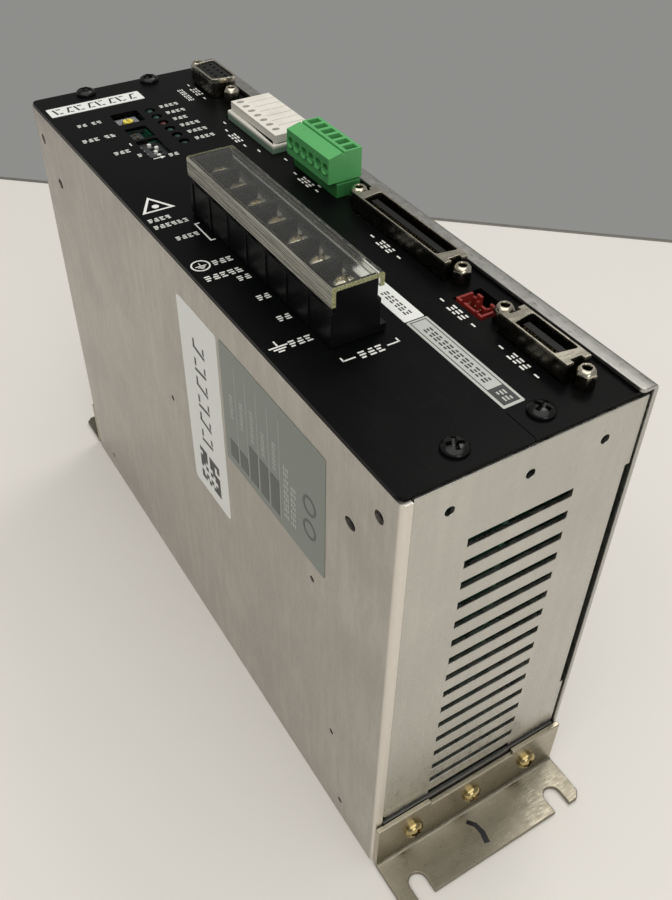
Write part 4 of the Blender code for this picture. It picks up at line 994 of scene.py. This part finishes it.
class Print:
    """Thin raised marks on one flat face, joined in one mesh. Across and up are the reading directions."""

    def __init__(self, axis, level, across=(1, 0), up=(0, 1), thickness=RAISED):
        self.mesh = bmesh.new()
        self.axis = axis
        self.levels = sorted((level, level + thickness))
        self.across = Vector(across)
        self.up = Vector(up)

    def shape(self, origin, outline):
        """Adds an outline that is given in reading directions from the origin."""
        points = [tuple(Vector(origin) + self.across * a + self.up * b) for a, b in outline]
        add_prism(self.mesh, self.axis, points, *self.levels)

    def bar(self, origin, low_a, high_a, low_b, high_b):
        self.shape(origin, rectangle(low_a, high_a, low_b, high_b))

    def ring(self, origin, inner, outer):
        for step in range(RING_STEPS):
            self.shape(origin, arc_band(0, 0, inner, outer, 360 * step / RING_STEPS, 360 / RING_STEPS, 1))

    def word(self, origin, count, scale=1.0, gap_after=0):
        """Stands for a word of count letters that starts at the origin, its middle line on it."""
        wide, tall, stroke = LETTER_WIDTH * scale, LETTER_HEIGHT * scale, STROKE * scale
        for index in range(count):
            start = (index + (0.8 if gap_after and index >= gap_after else 0)) * LETTER_PITCH * scale
            for row in range(3):
                inset = wide * 0.3 if (index + row) % 3 == 0 else 0.0
                middle = (row - 1) * (tall - stroke) / 2
                left = start + (inset if index % 2 else 0.0)
                right = start + wide - (0.0 if index % 2 else inset)
                self.bar(origin, left, right, middle - stroke / 2, middle + stroke / 2)

    def done(self, name, material):
        obj = mesh_object(name, self.mesh, [material])
        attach(obj, "case")


def print_panel():
    marks = Print("Z", PANEL_TOP)
    upright = Print("Z", PANEL_TOP, across=(0, 1), up=(-1, 0))
    lamp_x, first, pitch = lamp_rows()
    for index, count in enumerate((4, 4, 3, 4, 4, 4)):
        marks.word((lamp_x + 3.7, first + 0.3 - index * pitch), count)
    rotary = centre_mm("rotary_switch_body")
    marks.word((rotary.x - 16.1, rotary.y + 1.2), 4, gap_after=2)
    selector = centre_mm("monitor_header")
    marks.word((selector.x - 16.7, selector.y + 2.0), 5, 1.1, gap_after=3)
    dip = centre_mm("dip_switch_body")
    marks.word((dip.x - 12.2, dip.y + 0.3), 3, 1.05)
    marks.bar((dip.x - 5.6, dip.y + 3.9), -0.2, 0.2, -0.9, 0.9)
    marks.word((dip.x - 6.6, dip.y - 4.2), 1)
    marks.word((dip.x + 1.5, dip.y - 8.4), 2)
    arrow = (dip.x - 3.5, dip.y - 8.4)
    marks.shape(arrow, [(0, -0.2), (2.3, -0.2), (2.3, -0.8), (3.9, 0), (2.3, 0.8), (2.3, 0.2), (0, 0.2)])
    print_terminal_legends(marks)
    scale = 1.3
    half = 3 * LETTER_PITCH * scale / 2 - 0.3
    for node, offset, shift in (
        ("cn1_insert", 3.3, 0.6),
        ("cn4_shell", 3.3, 0.0),
        ("cn3_header", 3.2, 0.0),
        ("cn2_shell", 3.1, 0.0),
        ("cn5_header", 3.0, 0.0),
        ("tb2_header", 4.9, 0.0),
    ):
        low, high = box_mm(node)
        x, y = low.x - offset, (low.y + high.y) / 2 + shift
        upright.word((x, y - half), 3, scale)
        for end in (-1, 1):
            upright.bar((x, y + end * 6.1), -0.75, 0.75, -0.22, 0.22)
    low, high = box_mm("cn1_insert")
    upright.word((low.x - 7.6, (low.y + high.y) / 2 - 5.0), 6)
    for node, offset, ends, shift in (("cn5_header", 1.0, 9.6, 5.5), ("tb2_header", 2.9, 11.3, 0.0)):
        low, high = box_mm(node)
        for end in (-1, 1):
            y = (low.y + high.y) / 2 + end * ends + shift
            upright.bar((low.x - offset, y), -0.8, 0.8, -0.2, 0.2)
    marks.done("panel_legends", white_ink)
    upright.done("connector_legends", white_ink)


def print_terminal_legends(marks):
    """The legends on the left of the terminal block, its bracket marks and the earth signs."""
    left = LEFT_FACE
    rows = pole_rows()
    triangle = (left + 6.3, rows[6] + 15.0)
    tip, base, half, stroke = 5.0, -3.2, 4.8, 0.6
    outer = [(-half, base), (half, base), (0, tip)]
    inner = [(-half + 2 * stroke, base + stroke), (half - 2 * stroke, base + stroke), (0, tip - 2.2 * stroke)]
    for index in range(3):
        after = (index + 1) % 3
        marks.shape(triangle, [outer[index], outer[after], inner[after], inner[index]])
    marks.shape(triangle, circle(0.0, -0.7, 1.0, 16))
    marks.word((left + 1.3, rows[6] + 7.5), 4)
    marks.word((left + 1.3, rows[6] + 3.6), 6)
    marks.word((left + 4.0, rows[6] - 4.3), 4)
    edge = left + 11.5
    marks.bar((edge, 0), -0.2, 0.2, rows[5] + 0.5, rows[6] + 0.5)
    for row in (rows[5] + 0.7, rows[6] + 0.3):
        marks.bar((edge, row), 0.2, 1.3, -0.2, 0.2)
    ring = (left + 3.7, rows[4] + 0.8)
    marks.ring(ring, 2.15, 2.55)
    print_earth(marks, ring, 0.62)
    marks.word((left + 6.9, rows[4] + 0.3), 3, 1.15)
    marks.word((left + 2.0, rows[4] - 5.6), 5, 1.25)
    for row in (3, 2, 1):
        marks.word((left + 9.0, rows[row] + 0.7), 2, 1.15)
    print_earth(marks, (left + 3.8, rows[0] + 1.6), 1.0)
    marks.word((left + 6.5, rows[0] + 0.8), 3, 1.25)
    low, high = box_mm("tb1_body")
    y = low.y - 5.0
    for corner, inward in ((low.x - 0.1, 3.2), (high.x + 0.3, -3.2)):
        marks.bar((corner, y), *sorted((0.0, inward)), -0.2, 0.2)
        marks.bar((corner, y), -0.2, 0.2, -0.2, 1.4)
    marks.word((low.x + 4.2, y), 3, 1.35)


def print_earth(marks, origin, scale):
    """The earth sign: a stem over three shrinking bars."""
    marks.bar(origin, -0.2 * scale, 0.2 * scale, -0.2 * scale, 2.0 * scale)
    for row, half in enumerate((2.4, 1.6, 0.8)):
        middle = (-0.3 - 0.9 * row) * scale
        marks.bar(origin, -half * scale, half * scale, middle - 0.22 * scale, middle + 0.22 * scale)


def sticker(name, axis, level, outline, material, radius, thickness=STICKER):
    mesh = bmesh.new()
    add_prism(mesh, axis, rounded(outline, radius, 3), *sorted((level, level + thickness)))
    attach(mesh_object(name, mesh, [material]), "case")


def make_panel_labels():
    """The name plate, the white sticker and the serial label, all with generic marks."""
    top = PANEL_TOP
    case_top = box_mm("left_cover")[1].y
    plate_low, plate_high = case_top - 17.2, case_top - 10.6
    plate = rectangle(LEFT_FACE + 1.5, LEFT_FACE + 32.9, plate_low, plate_high)
    sticker("name_plate", "Z", top, plate, label_white, 0.3)
    marks = Print("Z", top + STICKER)
    y = (plate_low + plate_high) / 2
    for index in range(8):
        x = LEFT_FACE + 3.6 + index * 3.55
        lean = 0.9 if index % 2 else -0.6
        marks.shape((x, y), [(0, -1.9), (0.65, -1.9), (0.65 + lean, 1.9), (lean, 1.9)])
        marks.shape((x, y), [(1.0, -1.9), (2.2, -1.9), (2.2, -1.4), (1.0, -1.4)])
        marks.shape((x + 0.3 * lean, y), [(0.9, 1.4), (2.3, 1.4), (2.3, 1.9), (0.9, 1.9)])
    marks.done("name_plate_marks", dark_ink)
    low, high = box_mm("tb1_body")
    x_low, x_high = high.x + 5.4, high.x + 11.2
    split = low.y + 0.2
    sticker("white_sticker", "Z", top, rectangle(x_low, x_high - 0.1, split, split + 24.4), label_white, 0.3)
    small = Print("Z", top + STICKER, across=(0, -1), up=(1, 0))
    small.word(((x_low + x_high) / 2, split + 13.0), 6, 1.1)
    small.done("sticker_marks", dark_ink)
    end = split - 36.2
    sticker("serial_label", "Z", top, rectangle(x_low + 0.1, x_high + 0.2, end, split - 0.4), label_grey, 0.3)
    lines = Print("Z", top + STICKER, across=(0, 1), up=(-1, 0))
    middle = (x_low + x_high) / 2 + 0.15
    for side in (-1, 1):
        lines.bar((middle, end), 0.8, 35.2, side * 2.15 - 0.1, side * 2.15 + 0.1)
    for start in (0.8, 35.0):
        lines.bar((middle, end), start, start + 0.2, -2.15, 2.15)
    lines.bar((middle, end), 1.0, 6.6, -2.05, 2.05)
    lines.word((middle, end + 9.0), 12, 1.15)
    lines.done("serial_label_marks", dark_ink)
    light = Print("Z", top + STICKER + RAISED, across=(0, 1), up=(-1, 0))
    light.word((middle, end + 1.7), 2, 1.2)
    light.done("serial_label_field", label_grey)


def make_side_labels():
    """The tall white sticker and the rating plate on the left cover."""
    face = LEFT_FACE
    near = box_mm("left_cover")[0].y
    sticker_low, sticker_high = near + 80.5, near + 103.7
    outline = rectangle(sticker_low, sticker_high, 73.1, 139.8)
    sticker("asset_sticker", "X", face, outline, label_white, 1.5, -STICKER)
    marks = Print("X", face - STICKER, across=(0, 1), up=(1, 0), thickness=-RAISED)
    middle = (sticker_low + sticker_high) / 2
    for index in range(6):
        start = 94.5 + index * 6.4
        slope = 0.9 if index % 2 else -0.5
        marks.shape((middle, start), [(0, -3.4), (0.9, -3.4), (0.9 + slope, 3.4), (slope, 3.4)])
        marks.bar((middle, start), 1.3, 3.9, 2.4, 3.3)
        marks.bar((middle, start), 1.5, 3.6, -3.3, -2.5)
    cells, cell = 8, 1.55
    for row in range(cells):
        for column in range(cells):
            on_edge = row in (0, cells - 1) or column in (0, cells - 1)
            scattered = (row * 3 + column * 5 + row * column) % 7 in (0, 2, 3, 5)
            if scattered or (on_edge and (row + column) % 2 == 0):
                spot = (middle + (column - cells / 2) * cell, 77.4 + row * cell)
                marks.bar(spot, 0.02, cell - 0.02, 0.02, cell - 0.02)
    marks.done("asset_sticker_marks", dark_ink)
    plate_low, plate_high = near + 27.7, near + 78.9
    outline = rectangle(plate_low, plate_high, 100.8, 140.3)
    sticker("rating_plate", "X", face, outline, plate_green, 0.8, -STICKER)
    rows = [plate_high - 5.0 - index * 5.6 for index in range(5)]
    dark = Print("X", face - STICKER, across=(0, 1), up=(-1, 0), thickness=-RAISED)
    for y, length in zip(rows, (6.0, 6.0, 12.0, 12.0, 12.0)):
        dark.bar((y, 103.5), 0.0, length, -2.2, 2.2)
    for index in range(2):
        dark.ring((plate_low + 7.0, 112.0 + 8.0 * index), 2.2, 3.0)
    dark.done("rating_plate_cells", plate_dark)
    pale = Print("X", face - STICKER, across=(0, 1), up=(-1, 0), thickness=-RAISED)
    for index, y in enumerate(rows):
        pale.word((y, 118.0), 6 + index % 3, 0.8)
        pale.bar((y - 2.8, 103.0), 0.0, 33.0, -0.08, 0.08)
    for index, count in enumerate((9, 7)):
        pale.word((plate_low + 18.0 - index * 3.4, 106.0), count, 1.2)
    pale.done("rating_plate_lines", ink("plate_silver", (0.45, 0.46, 0.43), wear=0.2, roughness=0.35))


def make_marker_stroke():
    """A stroke of black marker on the lower bracket's foot."""
    top = box_mm("bottom_bracket")[0].z + 1.6
    path = [(-2.6, -112.0), (-0.9, -114.2), (-0.5, -117.2), (-1.2, -120.4)]
    mesh = bmesh.new()
    left, right = [], []
    for index, (x, y) in enumerate(path):
        ahead = Vector(path[min(index + 1, len(path) - 1)]) - Vector(path[max(index - 1, 0)])
        side = Vector((-ahead.y, ahead.x)).normalized() * (0.65 + 0.1 * index)
        left.append((x + side.x, y + side.y))
        right.append((x - side.x, y - side.y))
    add_prism(mesh, "Z", left + right[::-1], top, top + 0.04)
    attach(mesh_object("marker_stroke", mesh, [marker_ink]), "case")


make_stage()
dress_case()
make_screws()
make_jackscrews()
make_tb1()
make_tb1_cover()
make_tb2()
make_cn5()
make_ribbon_connector("cn4", 50)
make_ribbon_connector("cn2", 20)
make_cn1()
make_cn3()
make_switches()
print_panel()
make_panel_labels()
make_side_labels()
make_marker_stroke()
